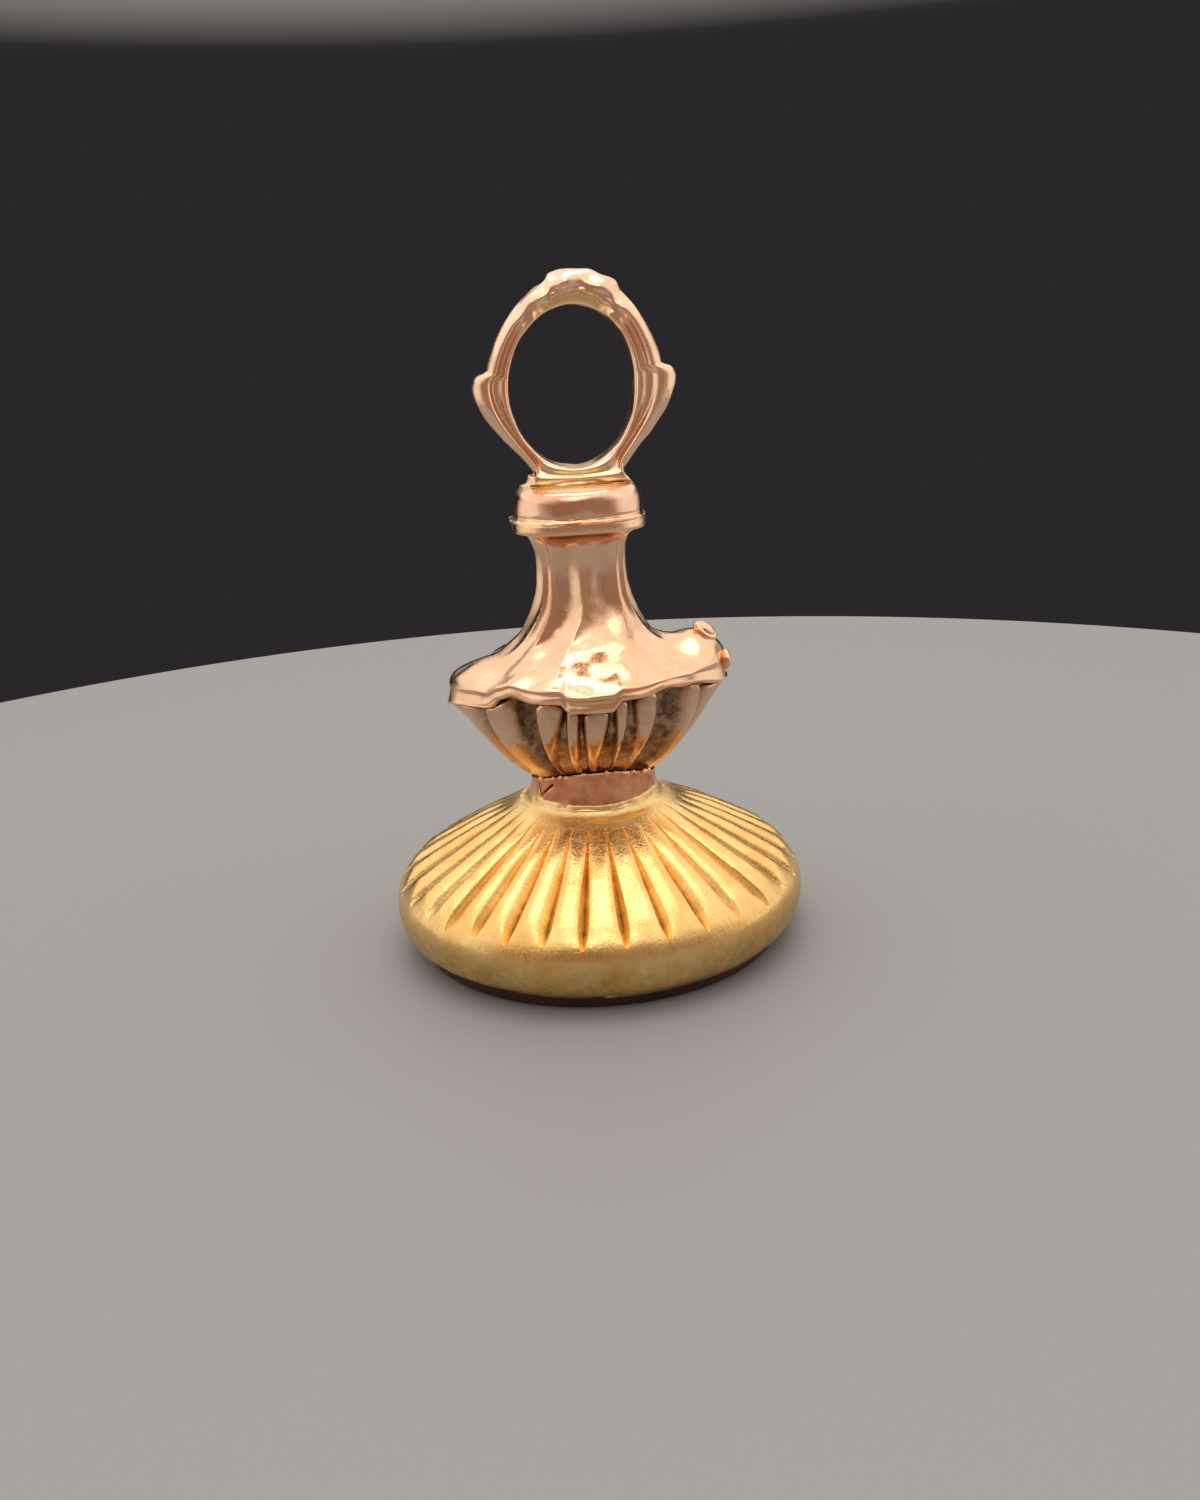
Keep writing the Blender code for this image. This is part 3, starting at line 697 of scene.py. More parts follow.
# Share of the height and of the half width; shares of petals, lobes, lip wave and channels; how square the
# plan is; shares of the lobes' curl and of the undercut below the lip; and the drape, which is how many
# millimetres higher the row lies at front and back
STEM_KEYS = (
    (0.000, 0.535, 0.30, 0.00, 0.00, 0.0, 2.0, 0.0, 0.0, 0.0),
    (0.045, 0.660, 0.65, 0.10, 0.00, 0.0, 2.0, 0.0, 0.0, 0.0),
    (0.110, 0.775, 0.95, 0.24, 0.00, 0.0, 2.0, 0.0, 0.0, 0.0),
    (0.180, 0.868, 1.00, 0.46, 0.00, 0.0, 2.0, 0.0, 0.1, 0.0),
    (0.250, 0.930, 1.00, 0.74, 0.15, 0.0, 2.0, 0.0, 0.4, 0.0),
    (0.300, 0.955, 1.00, 1.00, 0.60, 0.0, 2.0, 0.0, 0.8, 0.0),
    (0.322, 0.960, 0.90, 1.05, 1.00, 0.0, 2.0, 0.0, 1.0, 0.0),
    (0.322, 0.960, 0.90, 1.05, 1.00, 0.0, 2.0, 0.0, 1.0, 0.0),
    (0.323, 0.958, 0.15, 1.07, 1.00, 0.0, 2.0, 0.0, 0.2, 0.0),
    (0.330, 0.988, 0.00, 1.06, 1.00, 0.0, 2.0, 0.0, 0.0, 0.0),
    (0.348, 0.994, 0.00, 0.99, 0.95, 0.0, 2.0, 0.0, 0.0, 0.0),
    (0.374, 0.978, 0.00, 1.00, 0.82, 0.0, 2.0, 0.2, 0.0, -0.05),
    (0.399, 1.004, 0.00, 0.80, 0.68, 0.0, 2.0, 0.5, 0.0, -0.16),
    (0.418, 0.996, 0.00, 0.62, 0.58, 0.1, 2.0, 0.75, 0.0, -0.24),
    (0.434, 0.950, 0.00, 0.46, 0.45, 0.2, 2.0, 0.95, 0.0, -0.22),
    (0.445, 0.890, 0.00, 0.38, 0.30, 0.4, 2.0, 1.05, 0.0, -0.04),
    (0.456, 0.815, 0.00, 0.32, 0.16, 0.6, 2.0, 0.90, 0.0, 0.16),
    (0.478, 0.705, 0.00, 0.24, 0.05, 0.9, 2.0, 0.42, 0.0, 0.36),
    (0.535, 0.572, 0.00, 0.06, 0.00, 1.0, 2.2, 0.00, 0.0, 0.32),
    (0.618, 0.474, 0.00, 0.00, 0.00, 1.0, 2.5, 0.00, 0.0, 0.10),
    (0.705, 0.405, 0.00, 0.00, 0.00, 1.0, 2.8, 0.00, 0.0, 0.0),
    (0.770, 0.382, 0.00, 0.00, 0.00, 1.0, 3.0, 0.00, 0.0, 0.0),
    (0.840, 0.378, 0.00, 0.00, 0.00, 0.9, 3.0, 0.00, 0.0, 0.0),
    (0.900, 0.395, 0.00, 0.00, 0.00, 0.8, 2.9, 0.00, 0.0, 0.0),
    (0.938, 0.440, 0.00, 0.00, 0.00, 0.5, 2.8, 0.00, 0.0, 0.0),
    (0.955, 0.500, 0.00, 0.00, 0.00, 0.0, 2.7, 0.00, 0.0, 0.0),
    (0.960, 0.538, 0.00, 0.00, 0.00, 0.0, 2.7, 0.00, 0.0, 0.0),
    (0.960, 0.538, 0.00, 0.00, 0.00, 0.0, 2.7, 0.00, 0.0, 0.0),
    (0.968, 0.546, 0.00, 0.00, 0.00, 0.0, 2.7, 0.00, 0.0, 0.0),
    (0.990, 0.546, 0.00, 0.00, 0.00, 0.0, 2.7, 0.00, 0.0, 0.0),
    (1.000, 0.536, 0.00, 0.00, 0.00, 0.0, 2.7, 0.00, 0.0, 0.0),
)
STEM_STEPS = (4, 8, 9, 9, 9, 6, 1, 4, 3, 6, 7, 7, 6, 6, 6, 6, 8, 10, 10, 10, 8, 8, 8, 7, 5, 4, 1, 3, 5, 4)

# %% [markdown]
# The petals are flat-topped tongues with steep sides, which narrow towards the collar so that the cuts
# between them widen. Two of the gaps on each face are deep scoops. The lip's lower edge steps up beside the
# middle three petals and arches over the scoops.

# %% petals and lip
# Each petal's middle and half width at its tip, then at its foot, in degrees left or right of front and back
PETALS = (
    (0.2, 8.4, -3.2, 4.9),
    (-12.2, 4.0, -15.5, 4.0),
    (-25.2, 9.9, -30.5, 1.2),
    (-57.0, 10.2, -57.6, 12.8),
    (-79.6, 11.8, -81.0, 9.8),
    (13.6, 4.4, 11.3, 0.9),
    (28.7, 8.5, 26.0, 1.6),
    (61.2, 6.8, 63.0, 6.0),
    (79.6, 11.4, 80.0, 10.8),
)
# Each scoop's steep edge and its gentle edge, at the tip and at the foot
SCOOPS = ((-35.1, -47.5, -31.3, -45.0), (37.3, 54.6, 27.6, 57.0))
CUT_DEPTH = 0.52 * MM
SCOOP_DEPTH = 0.75 * MM
PETAL_FOOT = 0.085
PETAL_TIP = 0.320


def sided(angles):
    """Degrees left (minus) or right of the nearer of front and back, from -90 to 90."""
    return np.sign(np.sin(angles)) * from_front(angles)


def stem_angles():
    """Columns gather where the cuts between petals are: the running sum of a density gives their places."""
    fine = np.linspace(-math.pi, math.pi, 7201)
    side = sided(fine)
    density = 1.0 + 0.0 * side
    for middle, half, _, _ in PETALS:
        density += 1.4 * hump(side, middle - half, 1.8) + 1.4 * hump(side, middle + half, 1.8)
    total = np.concatenate([[0.0], np.cumsum((density[1:] + density[:-1]) / 2)])
    places = np.arange(STEM_COLUMNS) / STEM_COLUMNS * total[-1]
    return np.interp(places, total, fine)


def petal_relief(side, up):
    """How far the skin stands in from the petals' crowns: 0 on a crown, minus the cut's depth between petals.

    A petal is one less a power of the share from its middle: a high power near the tip, for a full pillow
    with steep sides, and a low one at the foot, where the cuts open into valleys. It closes in a flat arch.
    The scoop is a power of half a sine, pushed towards the middle petals, so it is steep there.
    """
    relief = np.zeros_like(side)
    rise = np.clip((up - PETAL_FOOT) / (PETAL_TIP - PETAL_FOOT), 0.0, 1.0)
    closing = np.clip((up - PETAL_TIP + 0.025) / 0.025, 0.0, 1.0)
    arch = (1.0 - closing**3) ** (1 / 3) + 1e-6
    power = 2.0 + 2.4 * rise
    for tip_middle, tip_half, foot_middle, foot_half in PETALS:
        middle = foot_middle + (tip_middle - foot_middle) * rise
        half = (foot_half + (tip_half - foot_half) * rise) * arch
        across = np.clip(np.abs((side - middle) / half), 0.0, 1.0)
        relief = np.maximum(relief, CUT_DEPTH * (1.0 - across**power))
    for tip_near, tip_far, foot_near, foot_far in SCOOPS:
        near = foot_near + (tip_near - foot_near) * rise
        far = foot_far + (tip_far - foot_far) * rise
        share = np.clip((side - near) / (far - near), 0.0, 1.0)
        relief = relief - SCOOP_DEPTH * np.clip(np.sin(math.pi * share**0.75), 0.0, 1.0) ** 0.7
    return relief - CUT_DEPTH


def lip_wave(side):
    """The lip steps up beside the middle petals, arches over the scoops and hangs lowest on the left lobe."""
    left = step_up(-side, 12.5, 17.5) * (1.0 - step_up(-side, 50.0, 59.0))
    right = step_up(side, 6.5, 12.5) * (1.0 - step_up(side, 55.0, 78.0))
    arches = 0.30 * hump(side, -42.0, 6.0) + 0.22 * hump(side, 36.0, 8.0)
    return (0.50 * (left + right) + arches - 0.55 * np.clip(-side / 90.0, 0.0, 1.0) ** 6) * MM


def curls(angles):
    """Both lobes curl up at their tips, the right one more, and the lip sags a little beside it."""
    curl = RIGHT_CURL * bell(angles, 90.0, 24.0) + LEFT_CURL * bell(angles, -90.0, 22.0)
    return curl - RIGHT_SAG * bell(angles, 40.0, 17.0) - VALLEY * hump(from_front(angles), 62.0, 14.0)


# %% [markdown]
# The neck is squarish, with a ridge down each corner and one in the middle of each face, and hollow
# channels between the ridges. On the way down to the lip the ridges sweep apart, so a channel is a hollow
# between two ridge lines whose angles change with the height.

# %% neck and shoulder
# Ridges in degrees from the front, to left and right: on the neck, and where the shoulder meets the lip
RIDGES_ON_NECK = (-90.0, -54.0, -36.0, -1.0, 36.0, 54.0, 90.0)
RIDGES_AT_LIP = (-90.0, -75.0, -52.0, -20.0, 25.0, 75.0, 90.0)
CHANNELS_ON_NECK = (0.36, 0.18, 0.46, 0.32, 0.20, 0.36)
CHANNELS_AT_LIP = (0.05, 0.20, 0.46, 0.14, 0.24, 0.05)


def channel_relief(side_fold, blend):
    """Between two ridges the depth is 4x(1 - x) of the share from one to the other: each ridge is a cusp."""
    relief = np.zeros_like(side_fold)
    for k, (neck_depth, lip_depth) in enumerate(zip(CHANNELS_ON_NECK, CHANNELS_AT_LIP)):
        depth = neck_depth + (lip_depth - neck_depth) * blend
        left = RIDGES_ON_NECK[k] + (RIDGES_AT_LIP[k] - RIDGES_ON_NECK[k]) * blend
        right = RIDGES_ON_NECK[k + 1] + (RIDGES_AT_LIP[k + 1] - RIDGES_ON_NECK[k + 1]) * blend
        share = np.clip((side_fold - left) / (right - left), 0.0, 1.0)
        relief -= depth * MM * 4.0 * share * (1.0 - share)
    return relief


# %% the stem's skin
def stem_skin():
    """Each ring is a superellipse, moved out by lobes, petals and channels, up by lip, curls and drape."""
    angles = stem_angles()
    fold, side = from_front(angles), sided(angles)
    shares = np.moveaxis(through(STEM_KEYS, STEM_STEPS)[:, :, None], 1, 0)
    up, out, petals, lobes, lip, channels, square, curl, under, drape = shares
    foot_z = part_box("collar")[1].z - JOINT_RISE + FIT
    top_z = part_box("stem")[1].z
    foot = np.clip(1.0 - up / 0.25, 0.0, 1.0)
    neck = step_up(up, 0.40, 0.62)
    half_length = out * KNOP_HALF_LENGTH
    ratio = KNOP_HALF_DEPTH / KNOP_HALF_LENGTH
    half_depth = half_length * (ratio + np.maximum(foot, neck) * (0.985 - ratio))
    x, y = oval(angles, half_length, half_depth, square)

    blend = 1.0 - step_up(up, 0.43, 0.70)
    all_side, all_up = side + 0 * up, up + 0 * fold
    petal = petals * petal_relief(all_side, all_up)
    channel = channels * channel_relief(all_side, blend + 0 * fold)
    lobe = hump(90.0 - fold, 0.0, LOBE_SPREAD)
    relief = petal + channel + lobes * LOBE_REACH * lobe - under * UNDERCUT * (1.0 - 0.7 * lobe)
    z = foot_z + up * (top_z - foot_z) + foot * joint_wave(angles) + lip * lip_wave(side)
    z = z + curl * curls(angles) + drape * MM * (1.0 - step_up(fold, 26.0, 84.0))
    plain = points_of(x, y, z)
    on_lip = step_up(up, 0.327, 0.335) * (1.0 - step_up(up, 0.44, 0.50))
    shoulder = step_up(up, 0.42, 0.46) * (1.0 - step_up(up, 0.56, 0.70))
    bulge = step_up(side, -15.0, -12.0) * (1.0 - step_up(side, 6.0, 12.0))
    relief = relief + on_lip * (MIDDLE_BULGE * bulge + uneven(plain, LIP_DENTS))
    relief = relief + shoulder * uneven(plain, *SHOULDER_DENTS) + uneven(plain, STEM_DENTS)
    reach = 1.0 + relief / np.hypot(x, y)
    z = z + on_lip * uneven(plain, LIP_WAVER)
    grid = points_of(x * reach, y * reach, np.minimum(z, top_z))

    # Painted shade: two dark spots for pits, and darker colour in the cuts between petals, in the neck's
    # channels and under the lip
    pits = bell(angles, 52.0, 4.5) * hump(up, 0.362, 0.014)
    pits = pits + 0.6 * bell(angles, -60.0, 3.0) * hump(up, 0.372, 0.012)
    cut_shade = 0.95 * np.clip(-petal / CUT_DEPTH, 0.0, 1.0) ** 1.5 * (1.0 - step_up(up, 0.318, 0.324))
    channel_shade = -0.45 * channel / MM * step_up(up, 0.50, 0.72)
    hollow = np.clip(cut_shade + pits + channel_shade + 0.5 * under * (1.0 - lobe), 0.0, 1.0)
    solder = 0.7 * (1.0 - step_up(all_up, 0.0, 0.03)) + 0.12 * step_up(all_up, 0.945, 0.955)
    return skin("gadrooned_stem", grid, hollow=hollow, solder=solder)


show(stem_skin(), stem_gold, "stem_gold", 40.0, "stem")

# %% [markdown]
# Two pellets of gold sit on the curled right lobe: a button with a ring round it on the top, and a small
# one on the edge. Each is a squashed ball on a grid of its own: rows from pole to pole, closed by the
# skin's caps.

# %% the pellets
def ball(place, size, rows, columns, turn=(0.0, 0.0), ring=0.0, seed=None):
    """A squashed ball: sines and cosines of two angles, scaled, tipped about X, then about Y, and moved.

    A ring is a shallow groove round the upper pole: the radius is less by a bell curve of the polar angle.
    """
    polar = np.linspace(0.06, math.pi - 0.06, rows)[:, None]
    around = all_round(columns)
    unit = points_of(np.sin(polar) * np.cos(around), np.sin(polar) * np.sin(around), np.cos(polar))
    swell = 1.0 - ring * hump(polar, 0.78, 0.16)
    if seed is not None:
        swell = swell * (1.0 + 0.18 * ripple(unit, 2.2, seed))
    x, y, z = np.moveaxis(unit * swell[..., None] * np.asarray(size) / 2, -1, 0)
    tip, lean = turn
    y, z = math.cos(tip) * y - math.sin(tip) * z, math.sin(tip) * y + math.cos(tip) * z
    x, z = math.cos(lean) * x + math.sin(lean) * z, math.cos(lean) * z - math.sin(lean) * x
    return points_of(x, y, z) + np.asarray(place)


TOP_PELLET = (6.42 * MM, -0.25 * MM, 16.80 * MM)
TOP_PELLET_SIZE = (1.45 * MM, 1.15 * MM, 0.85 * MM)
SIDE_PELLET = (7.42 * MM, -0.70 * MM, 15.25 * MM)
SIDE_PELLET_SIZE = (0.60 * MM, 0.9 * MM, 1.05 * MM)
button = ball(TOP_PELLET, TOP_PELLET_SIZE, 49, 72, turn=(math.radians(32.0), math.radians(38.0)), ring=0.16)
show(skin("top_pellet", button, hollow=0.0, solder=0.0), stem_gold, "stem_gold", 60.0)
knob = ball(SIDE_PELLET, SIDE_PELLET_SIZE, 25, 48, turn=(0.0, math.radians(6.0)), seed=42)
show(skin("side_pellet", knob, hollow=0.0, solder=0.0), stem_gold, "stem_gold", 60.0)

# %% [markdown]
# ## The cushion bead
#
# Between stem and loop lies a bead like a small cushion, polished until it mirrors the room. Its side is
# almost upright and its edges are rolled over, so it is a profile with two tight bends, on a plan that is
# squarer than a circle.

# %% the bead
BEAD_KEYS = (
    (0.955, 0.00),
    (0.985, 0.06),
    (1.00, 0.20),
    (1.00, 0.44),
    (0.985, 0.64),
    (0.945, 0.81),
    (0.88, 0.925),
    (0.79, 0.985),
    (0.70, 1.000),
    (0.50, 1.00),
)
BEAD_STEPS = (3, 5, 5, 5, 6, 7, 7, 6, 6)
BEAD_COLUMNS = 360
BEAD_SWELL = 0.08 * MM
BEAD_DENT = 0.03 * MM


def bead_skin():
    """The cushion's profile, as shares of its half width and height, carried round a rounded square."""
    low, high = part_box("cap_bead")
    out, up = (column[:, None] for column in through(BEAD_KEYS, BEAD_STEPS).T)
    x, y = oval(all_round(BEAD_COLUMNS), out * (high.x + BEAD_SWELL), out * (high.y + BEAD_SWELL), 2.2)
    z = low.z + up * (high.z - low.z)
    plain = points_of(x, y, z)
    reach = 1.0 - BEAD_DENT * (1.0 - ripple(plain, 1.8 * MM, 51)) / np.hypot(x, y)
    smear = np.clip(step_up(up, 0.9, 1.0) + 0.3 * ripple(plain, 1.2 * MM, 52), 0.0, 1.0)
    solder = 0.9 * smear * step_up(up, 0.8, 0.95) + 0.5 * (1.0 - step_up(up, 0.0, 0.1))
    solder = np.clip(solder, 0.0, 1.0)
    return skin("cushion_bead", points_of(x * reach, y * reach, z), hollow=0.0, solder=solder)


show(bead_skin(), bead_gold, "bead_gold", 50.0, "cap_bead")

# %% [markdown]
# ## The loop
#
# The loop is a ring whose two arms grow out of a pair of horned leaves. Seen from the front it is an oval
# hole with an outline that is straight up the flanks, steps in above the horns, and carries a lumpy
# ornament at the top. The section changes all the way round, so the skin is lofted: stations round the
# hole, and at each of them a section from the inner wall over two ridges with a groove between them.

# %% the loop's outline
LOOP_STATIONS = 420
SECTION_POINTS = 88
LOOP_FOOT = 0.8 * MM
LOOP_TOP = 1.65 * MM
HOLE_HALF_WIDTH = 3.1 * MM
ARM_WIDTH = 1.5 * MM
ARM_EXTRA = 0.36 * MM
ARM_PINCH = 0.13
HORN_REACH = 5.12 * MM
HORN_TIP = 0.62 * MM
TIP_ABOVE = 0.25 * MM
FOOT_REACH = 2.62 * MM
WAIST_REACH = 2.3 * MM
WAIST_HEIGHT = 0.5 * MM
LOOP_LEAN = 0.06
ORNAMENT_REACH = 1.9 * MM
ORNAMENT_SHIFT = 0.45 * MM
ORNAMENT_RISE = 0.22 * MM
LOOP_HALF_THICK = 1.15 * MM
FOOT_HALF_THICK = 1.5 * MM
ORNAMENT_LUMP = (0.13, 1.4, 61)
LOOP_DENTS = ((0.018, 1.8, 62), (0.005, 0.7, 63))
# Across, 0 at the hole and 1 outside, and thickness, 1 at the crest, from the inner wall to the outer edge
SECTION_KEYS = (
    (0.00, 0.00), (0.00, 0.42), (0.03, 0.70), (0.10, 0.84), (0.18, 0.86),
    (0.26, 0.78), (0.34, 0.73), (0.43, 0.77), (0.51, 0.92), (0.59, 1.00),
    (0.69, 0.97), (0.81, 0.86), (0.92, 0.66), (0.985, 0.38), (1.00, 0.00),
)
SECTION_STEPS = (4,) * 14


def loop_outline(angles):
    """Inner and outer points at each station, from the hole's middle: ellipses, then the horns' flanks.

    A flank rises from the waist as a power of a sine to the horn, then rounds over as a quarter circle, and
    above the horn the outline drops back to the arm's own ellipse.
    """
    low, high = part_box("suspension_loop")
    bottom, top = low.z + LOOP_FOOT, high.z - LOOP_TOP
    centre, half_height = (bottom + top) / 2, (top - bottom) / 2
    side, up = np.sin(angles), np.cos(angles)
    inner = np.stack([HOLE_HALF_WIDTH * side, half_height * up], axis=-1)
    arc_up = half_height + LOOP_TOP - ORNAMENT_RISE
    arc_side = (HOLE_HALF_WIDTH + ARM_WIDTH) * (1.0 - ARM_PINCH * np.maximum(up, 0.0))
    outer = np.stack([arc_side * side, arc_up * up], axis=-1)
    ornament = step_up(ORNAMENT_REACH - np.abs(outer[:, 0] - ORNAMENT_SHIFT), 0.0, 0.3 * MM) * (up > 0)
    outer[:, 1] += ORNAMENT_RISE * ornament
    z = np.maximum(centre + outer[:, 1], low.z)
    waist, tip = low.z + WAIST_HEIGHT, centre + TIP_ABOVE
    share = np.clip((z - waist) / (tip - waist), 0.0, 1.0)
    flank = WAIST_REACH + (HORN_REACH - WAIST_REACH) * np.sin(share * math.pi / 2) ** 1.3
    above = np.clip((z - tip) / HORN_TIP, 0.0, 1.0)
    flank = flank - HORN_TIP * (1.0 - np.sqrt(1.0 - above**2))
    flank = flank + np.clip((waist - z) / WAIST_HEIGHT, 0.0, 1.0) ** 2 * (FOOT_REACH - WAIST_REACH)
    horned = outer[:, 1] < TIP_ABOVE + HORN_TIP
    arm = np.where(up > 0, np.abs(outer[:, 0]), 0.0)
    reach = np.maximum(np.minimum(flank, np.abs(side) * 1.6 * HORN_REACH), arm)
    outer[:, 0] = np.where(horned, np.sign(side) * reach, outer[:, 0])
    outer[:, 1] = z - centre
    lean = LOOP_LEAN * np.maximum(inner[:, 1], 0.0)
    inner[:, 0] += lean
    outer[:, 0] += lean + ARM_EXTRA / 2
    return inner, outer, centre, half_height


def section(share_round):
    """Across and thickness at each point of a section's outline, by straight steps along the smooth curve."""
    curve = through(SECTION_KEYS, SECTION_STEPS)
    order = np.arange(len(curve))
    place = share_round * order[-1]
    return np.interp(place, order, curve[:, 0]), np.interp(place, order, curve[:, 1])


def loop_skin():
    """The loft: each section lies between its inner and outer point, with the thickness along Y."""
    angles = all_round(LOOP_STATIONS)
    inner, outer, centre, half_height = loop_outline(angles)
    half = SECTION_POINTS // 2
    front_across, front_thick = section(np.linspace(0.0, 1.0, half, endpoint=False))
    back_across, back_thick = section(np.linspace(1.0, 0.0, half, endpoint=False))
    across = np.concatenate([front_across, back_across])[None, :]
    thick = np.concatenate([-front_thick, back_thick])[None, :]

    up = np.cos(angles)[:, None]
    top = step_up(up, 0.62, 0.76)
    low = np.clip((-inner[:, 1] / half_height - 0.5) * 2.0, 0.0, 1.0)[:, None]
    half_thick = LOOP_HALF_THICK + low * (FOOT_HALF_THICK - LOOP_HALF_THICK)
    jag = 0.04 * np.sin(angles * 9.0 + 1.0)[:, None] + 0.02 * np.sin(angles * 23.0)[:, None]
    recess = step_up(up, 0.80, 0.92) * (1.0 - step_up(across, 0.22 + jag, 0.36 + jag))
    rounded = np.sqrt(1.0 - 0.9 * (np.clip(across - 0.42, 0.0, 1.0) / 0.58) ** 2)
    top_thick = np.sign(thick) * np.abs(thick) ** 0.25 * (1.0 - 0.48 * recess) * rounded
    square = 1.0 - 0.72 * step_up(low, 0.50, 1.0)
    foot_thick = np.sign(thick) * np.abs(thick) ** square
    shaped = foot_thick * (1.0 - top) + top_thick * top
    flat = inner[:, None, :] + across[..., None] * (outer - inner)[:, None, :]
    points = points_of(flat[..., 0], shaped * half_thick, centre + flat[..., 1])
    lump = top * step_up(across, 0.36, 0.50) * uneven(points, ORNAMENT_LUMP)
    wobble = uneven(points, *LOOP_DENTS)
    points[..., 1] += np.sign(shaped) * (lump + wobble) * np.clip(np.abs(shaped) * 3.0, 0.0, 1.0)
    outward = (outer - inner) / np.linalg.norm(outer - inner, axis=1)[:, None]
    rough_edge = (np.abs(across - 0.5) * 2.0) ** 4 * (0.5 * lump + wobble) * np.sign(across - 0.5)
    points[..., 0] += rough_edge * outward[:, None, 0]
    points[..., 2] += rough_edge * outward[:, None, 1]
    low_box, high_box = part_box("suspension_loop")
    points[..., 2] = np.clip(points[..., 2], low_box.z, high_box.z)
    # Painted shade: a faint line in the arms' groove, and a dark edge along the recess at the top
    hollow = 0.05 * hump(across, 0.34, 0.06) * (1.0 - top) * (1.0 - 0.6 * low)
    hollow = hollow + 0.45 * recess * hump(across, 0.30 + jag, 0.05)
    solder = np.clip(0.4 * step_up(-up, 0.90, 0.99) + 0.7 * recess, 0.0, 1.0)
    return skin("horned_loop", points, joined=True, hollow=hollow, solder=solder)


show(loop_skin(), loop_gold, "loop_gold", 40.0, "suspension_loop")

# %% [markdown]
# ## Solder
#
# Yellow solder fills three corners: between loop and bead, between bead and flange, and where the collar
# stands on the mount. Small beads of it have run along the joints. A bevel between two pieces would need
# them joined, so each fillet is a ring of its own with a hollow section. The beads are little uneven balls
# in one mesh.

# %% fillets and beads of solder
FILLET_COLUMNS = 420
# Share of the width out from the wall, and share of the height; minus is inside the pieces
FILLET_KEYS = (
    (1.0, 0.0), (0.62, 0.08), (0.38, 0.25), (0.22, 0.50), (0.13, 0.78),
    (0.03, 0.96), (-0.25, 1.0), (-0.4, 0.8), (-0.4, -0.4), (0.9, -0.4),
)
FILLET_STEPS = (5, 5, 5, 5, 4, 3, 2, 3, 3)
FILLET_SINK = 0.02 * MM


def fillet_skin(name, inner, foot_z, width, height, square, yellow):
    """A ring with a hollow section: from a thin outer edge it sweeps up to the wall that it is soldered to.

    Its width swells and shrinks with a sine of three times the angle, and it climbs more at the sides.
    """
    angles = all_round(FILLET_COLUMNS)
    out, up = (column[:, None] for column in through(FILLET_KEYS, FILLET_STEPS).T)
    spread = width * (1.0 + 0.25 * np.sin(angles * 3.0 + 1.0) * np.clip(out, 0.0, 1.0))
    x, y = oval(angles, inner[0] + out * spread, inner[1] + out * spread, square)
    z = foot_z + up * height * (1.0 + 0.2 * np.abs(np.sin(angles)))
    plain = points_of(x, y, z)
    reach = 1.0 + uneven(plain, (0.03, 0.9, 71)) / np.hypot(x, y)
    grid = points_of(x * reach, y * reach, z + uneven(plain, (0.02, 0.8, 72)))
    return skin(name, grid, joined=True, hollow=0.0, solder=yellow(angles))


def crumbs(name, places, sizes, seed):
    """Many small uneven balls in one mesh: each is made like a pellet, and the arrays are joined."""
    draw = np.random.default_rng(seed)
    verts, faces = [], []
    rows, columns = 7, 10
    for place, size in zip(places, sizes):
        axes = size * draw.uniform(0.7, 1.3, 3)
        grid = ball(place, axes, rows, columns, seed=int(draw.integers(1000)))
        index = np.arange(rows * columns).reshape(rows, columns) + sum(len(v) for v in verts)
        lower, upper = index[:-1], index[1:]
        quads = np.stack([lower, upper, np.roll(upper, -1, axis=1), np.roll(lower, -1, axis=1)], axis=-1)
        faces += quads.reshape(-1, 4).tolist() + [index[0].tolist(), index[-1][::-1].tolist()]
        verts.append(grid.reshape(-1, 3))
    mesh = bpy.data.meshes.new(name)
    mesh.from_pydata(np.concatenate(verts).tolist(), [], faces)
    mesh.update()
    return mesh


# Degrees from the front of the beads on the collar's top edge, and how far from the axis they lie
COLLAR_CRUMBS = (
    -41.0, -34.0, -13.0, -11.0, 16.0, 19.0, 34.0, 47.0, 49.0, 52.0, 57.0, -58.0, 8.0, 130.0, 200.0,
)
CRUMB_REACH = 3.44 * MM
FLANGE_CRUMBS = 26


def joint_crumbs():
    """Beads of solder: under the cushion bead at its left front, and on the collar's top edge."""
    draw = np.random.default_rng(9)
    collar_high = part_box("collar")[1]
    flange_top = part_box("stem")[1].z
    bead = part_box("cap_bead")[1]
    spots = []
    for degrees in draw.uniform(-72.0, -38.0, FLANGE_CRUMBS):
        angle = math.radians(degrees)
        reach = draw.uniform(0.955, 1.0)
        spots.append((bead.x * reach * math.sin(angle), -bead.y * reach * math.cos(angle),
                      flange_top + draw.uniform(-0.12, 0.16) * MM, draw.uniform(0.16, 0.38) * MM))
    for degrees in COLLAR_CRUMBS:
        angle = math.radians(degrees)
        z = collar_high.z - JOINT_RISE + float(joint_wave(angle))
        size = draw.uniform(0.14, 0.34) * MM
        spots.append((CRUMB_REACH * math.sin(angle), -CRUMB_REACH * math.cos(angle), z, size))
    places = [np.array(spot[:3]) for spot in spots]
    return crumbs("solder_beads", places, [spot[3] for spot in spots], 10)


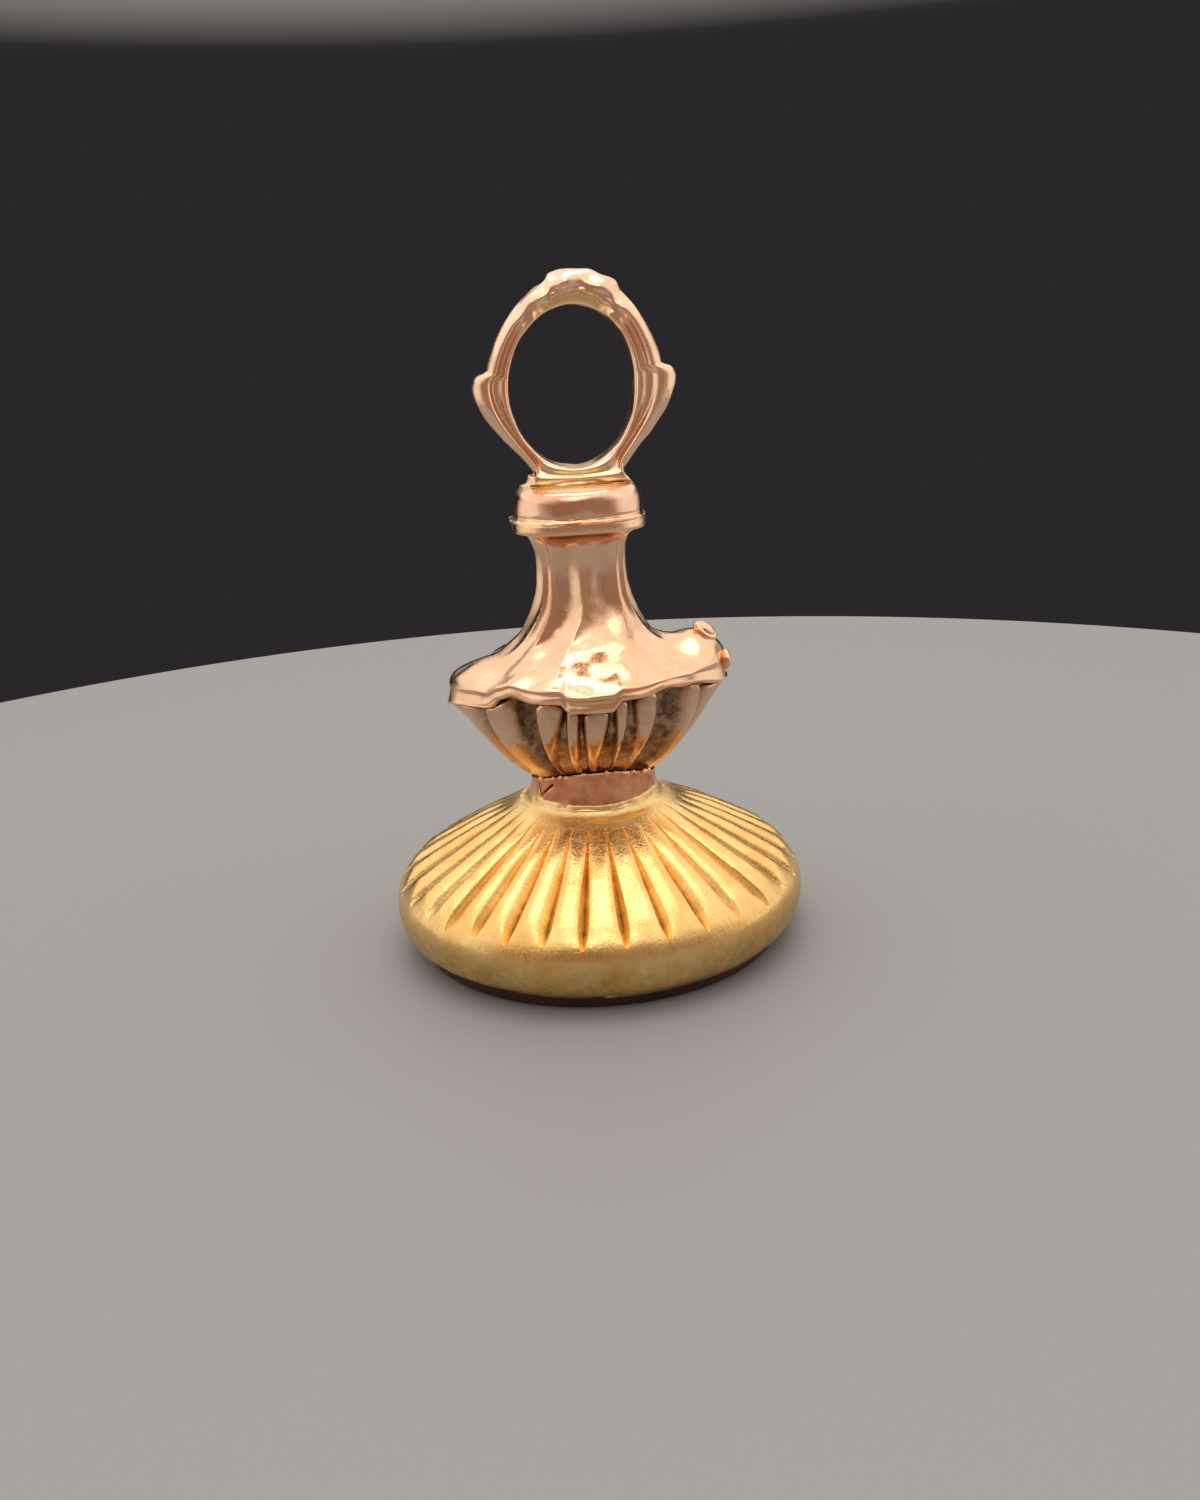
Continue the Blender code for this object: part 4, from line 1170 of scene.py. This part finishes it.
loop_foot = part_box("suspension_loop")[0].z - FILLET_SINK
loop_fillet = fillet_skin(
    "loop_fillet", (2.42 * MM, 1.32 * MM), loop_foot, 0.44 * MM, 0.42 * MM, 2.3,
    lambda angles: 0.2 + 0.7 * hump(turned(angles, math.radians(-40.0)), 0.0, 0.5))
show(loop_fillet, loop_gold, "loop_gold", 60.0)
bead_low, bead_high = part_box("cap_bead")
flange_wall = (bead_high.x - 0.04 * MM, bead_high.y - 0.04 * MM)
flange_fillet = fillet_skin(
    "flange_fillet", flange_wall, bead_low.z - 0.03 * MM, 0.26 * MM, 0.20 * MM, 2.5,
    lambda angles: 0.15 + 0.6 * hump(turned(angles, math.radians(-50.0)), 0.0, 0.35))
show(flange_fillet, bead_gold, "bead_gold", 60.0)
collar_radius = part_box("collar")[1].x - COLLAR_FLARE
collar_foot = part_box("fluted_mount")[1].z - 0.32 * MM
collar_fillet = fillet_skin(
    "collar_fillet", (collar_radius, collar_radius), collar_foot, 0.58 * MM, 0.62 * MM, 2.0,
    lambda angles: np.full_like(angles, 0.35))
show(collar_fillet, mount_gold, "mount_gold", 60.0)
show(joint_crumbs(), loop_gold, "loop_gold", 60.0)

# %% [markdown]
# ## Floor and light
#
# Polished metal shows the room more than itself, so the room is half of the finish. Lamps alone would leave
# most of a mirror black. So two soft oval lights, one overhead and one above the front, make the
# highlights, and the world does the rest: it is pale above and aside, and dark behind, where the edges that
# turn away find something dark to reflect.

# %% floor, light and room
FLOOR_MIDDLE = -20.0 * MM
FLOOR_RADIUS = 100.0 * MM
FLOOR_CORNERS = 256


def lay_floor():
    """A pale round table under the seal, as one flat face; its far edge is a little behind the seal."""
    angles = all_round(FLOOR_CORNERS)
    grid = points_of(FLOOR_RADIUS * np.cos(angles), FLOOR_MIDDLE + FLOOR_RADIUS * np.sin(angles), 0.0)
    mesh = bpy.data.meshes.new("floor")
    mesh.from_pydata(grid.tolist(), [], [list(range(FLOOR_CORNERS))])
    floor = bpy.data.objects.new("floor", mesh)
    bpy.context.scene.collection.objects.link(floor)
    mesh.materials.append(finish_net("pale floor").finish(Base_Color=(0.30, 0.30, 0.297, 1.0), Roughness=0.6))


def softbox(name, place, target, width, height, brightness, colour):
    """An oval area light that faces a point; at a brightness of 1 its mirror image is plain white.

    Its power is pi times its brightness times its area, and the area of an oval is a quarter of pi times its
    width times its height. Its own Z axis points away from the target.
    """
    light = bpy.data.lights.new(name, "AREA")
    light.shape = "ELLIPSE"
    light.size, light.size_y = width, height
    light.energy = math.pi * brightness * width * height * math.pi / 4
    light.color = colour
    lamp = bpy.data.objects.new(name, light)
    lamp.visible_camera = False
    away = np.asarray(place) - np.asarray(target)
    away = away / np.linalg.norm(away)
    side = np.cross([0.0, 1.0, 0.01], away)
    side = side / np.linalg.norm(side)
    axes = np.stack([side, np.cross(away, side), away], axis=1)
    lamp.matrix_world = Matrix.Translation(place) @ Matrix(axes.tolist()).to_4x4()
    bpy.context.scene.collection.objects.link(lamp)


def soft_room():
    """The world by the direction looked in: pale above and aside, dark behind, and dim and warm in front.

    Height, side and front are straight ramps of the direction's parts, and their sums and products give one
    share of white.
    """
    world = bpy.data.worlds.new("room")
    room = Net(world, "Background")
    direction = room.node("ShaderNodeTexCoord", {}, {}, "Generated")
    x, y, z = (room.node("ShaderNodeSeparateXYZ", {}, {0: direction}, axis) for axis in "XYZ")
    ceiling = room.ramp(z, 0.21, 0.39)
    aside = room.ramp(room.maths("ABSOLUTE", x, 0.0), 0.60, 0.92, 0.0, 0.85)
    lit = room.maths("MAXIMUM", ceiling, aside)
    pale = room.mix(lit, (0.022, 0.020, 0.022, 1.0), (1.15, 1.08, 1.00, 1.0))
    near = room.ramp(y * -1.0, 0.25, 0.80) * room.ramp(z, 0.50, 0.85, 1.0, 0.0)
    room.finish(Color=room.mix(near, pale, (0.31, 0.22, 0.17, 1.0)))
    bpy.context.scene.world = world


lay_floor()
soft_room()
softbox("overhead", (0.0, 0.02, 0.20), (0.0, 0.0, 0.0), 0.17, 0.13, 1.55, (1.0, 0.97, 0.92))
softbox("front_above", (-0.01, -0.11, 0.16), (0.0, 0.0, 0.01), 0.11, 0.075, 1.0, (1.0, 0.95, 0.88))
bpy.context.scene.view_settings.view_transform = "Standard"
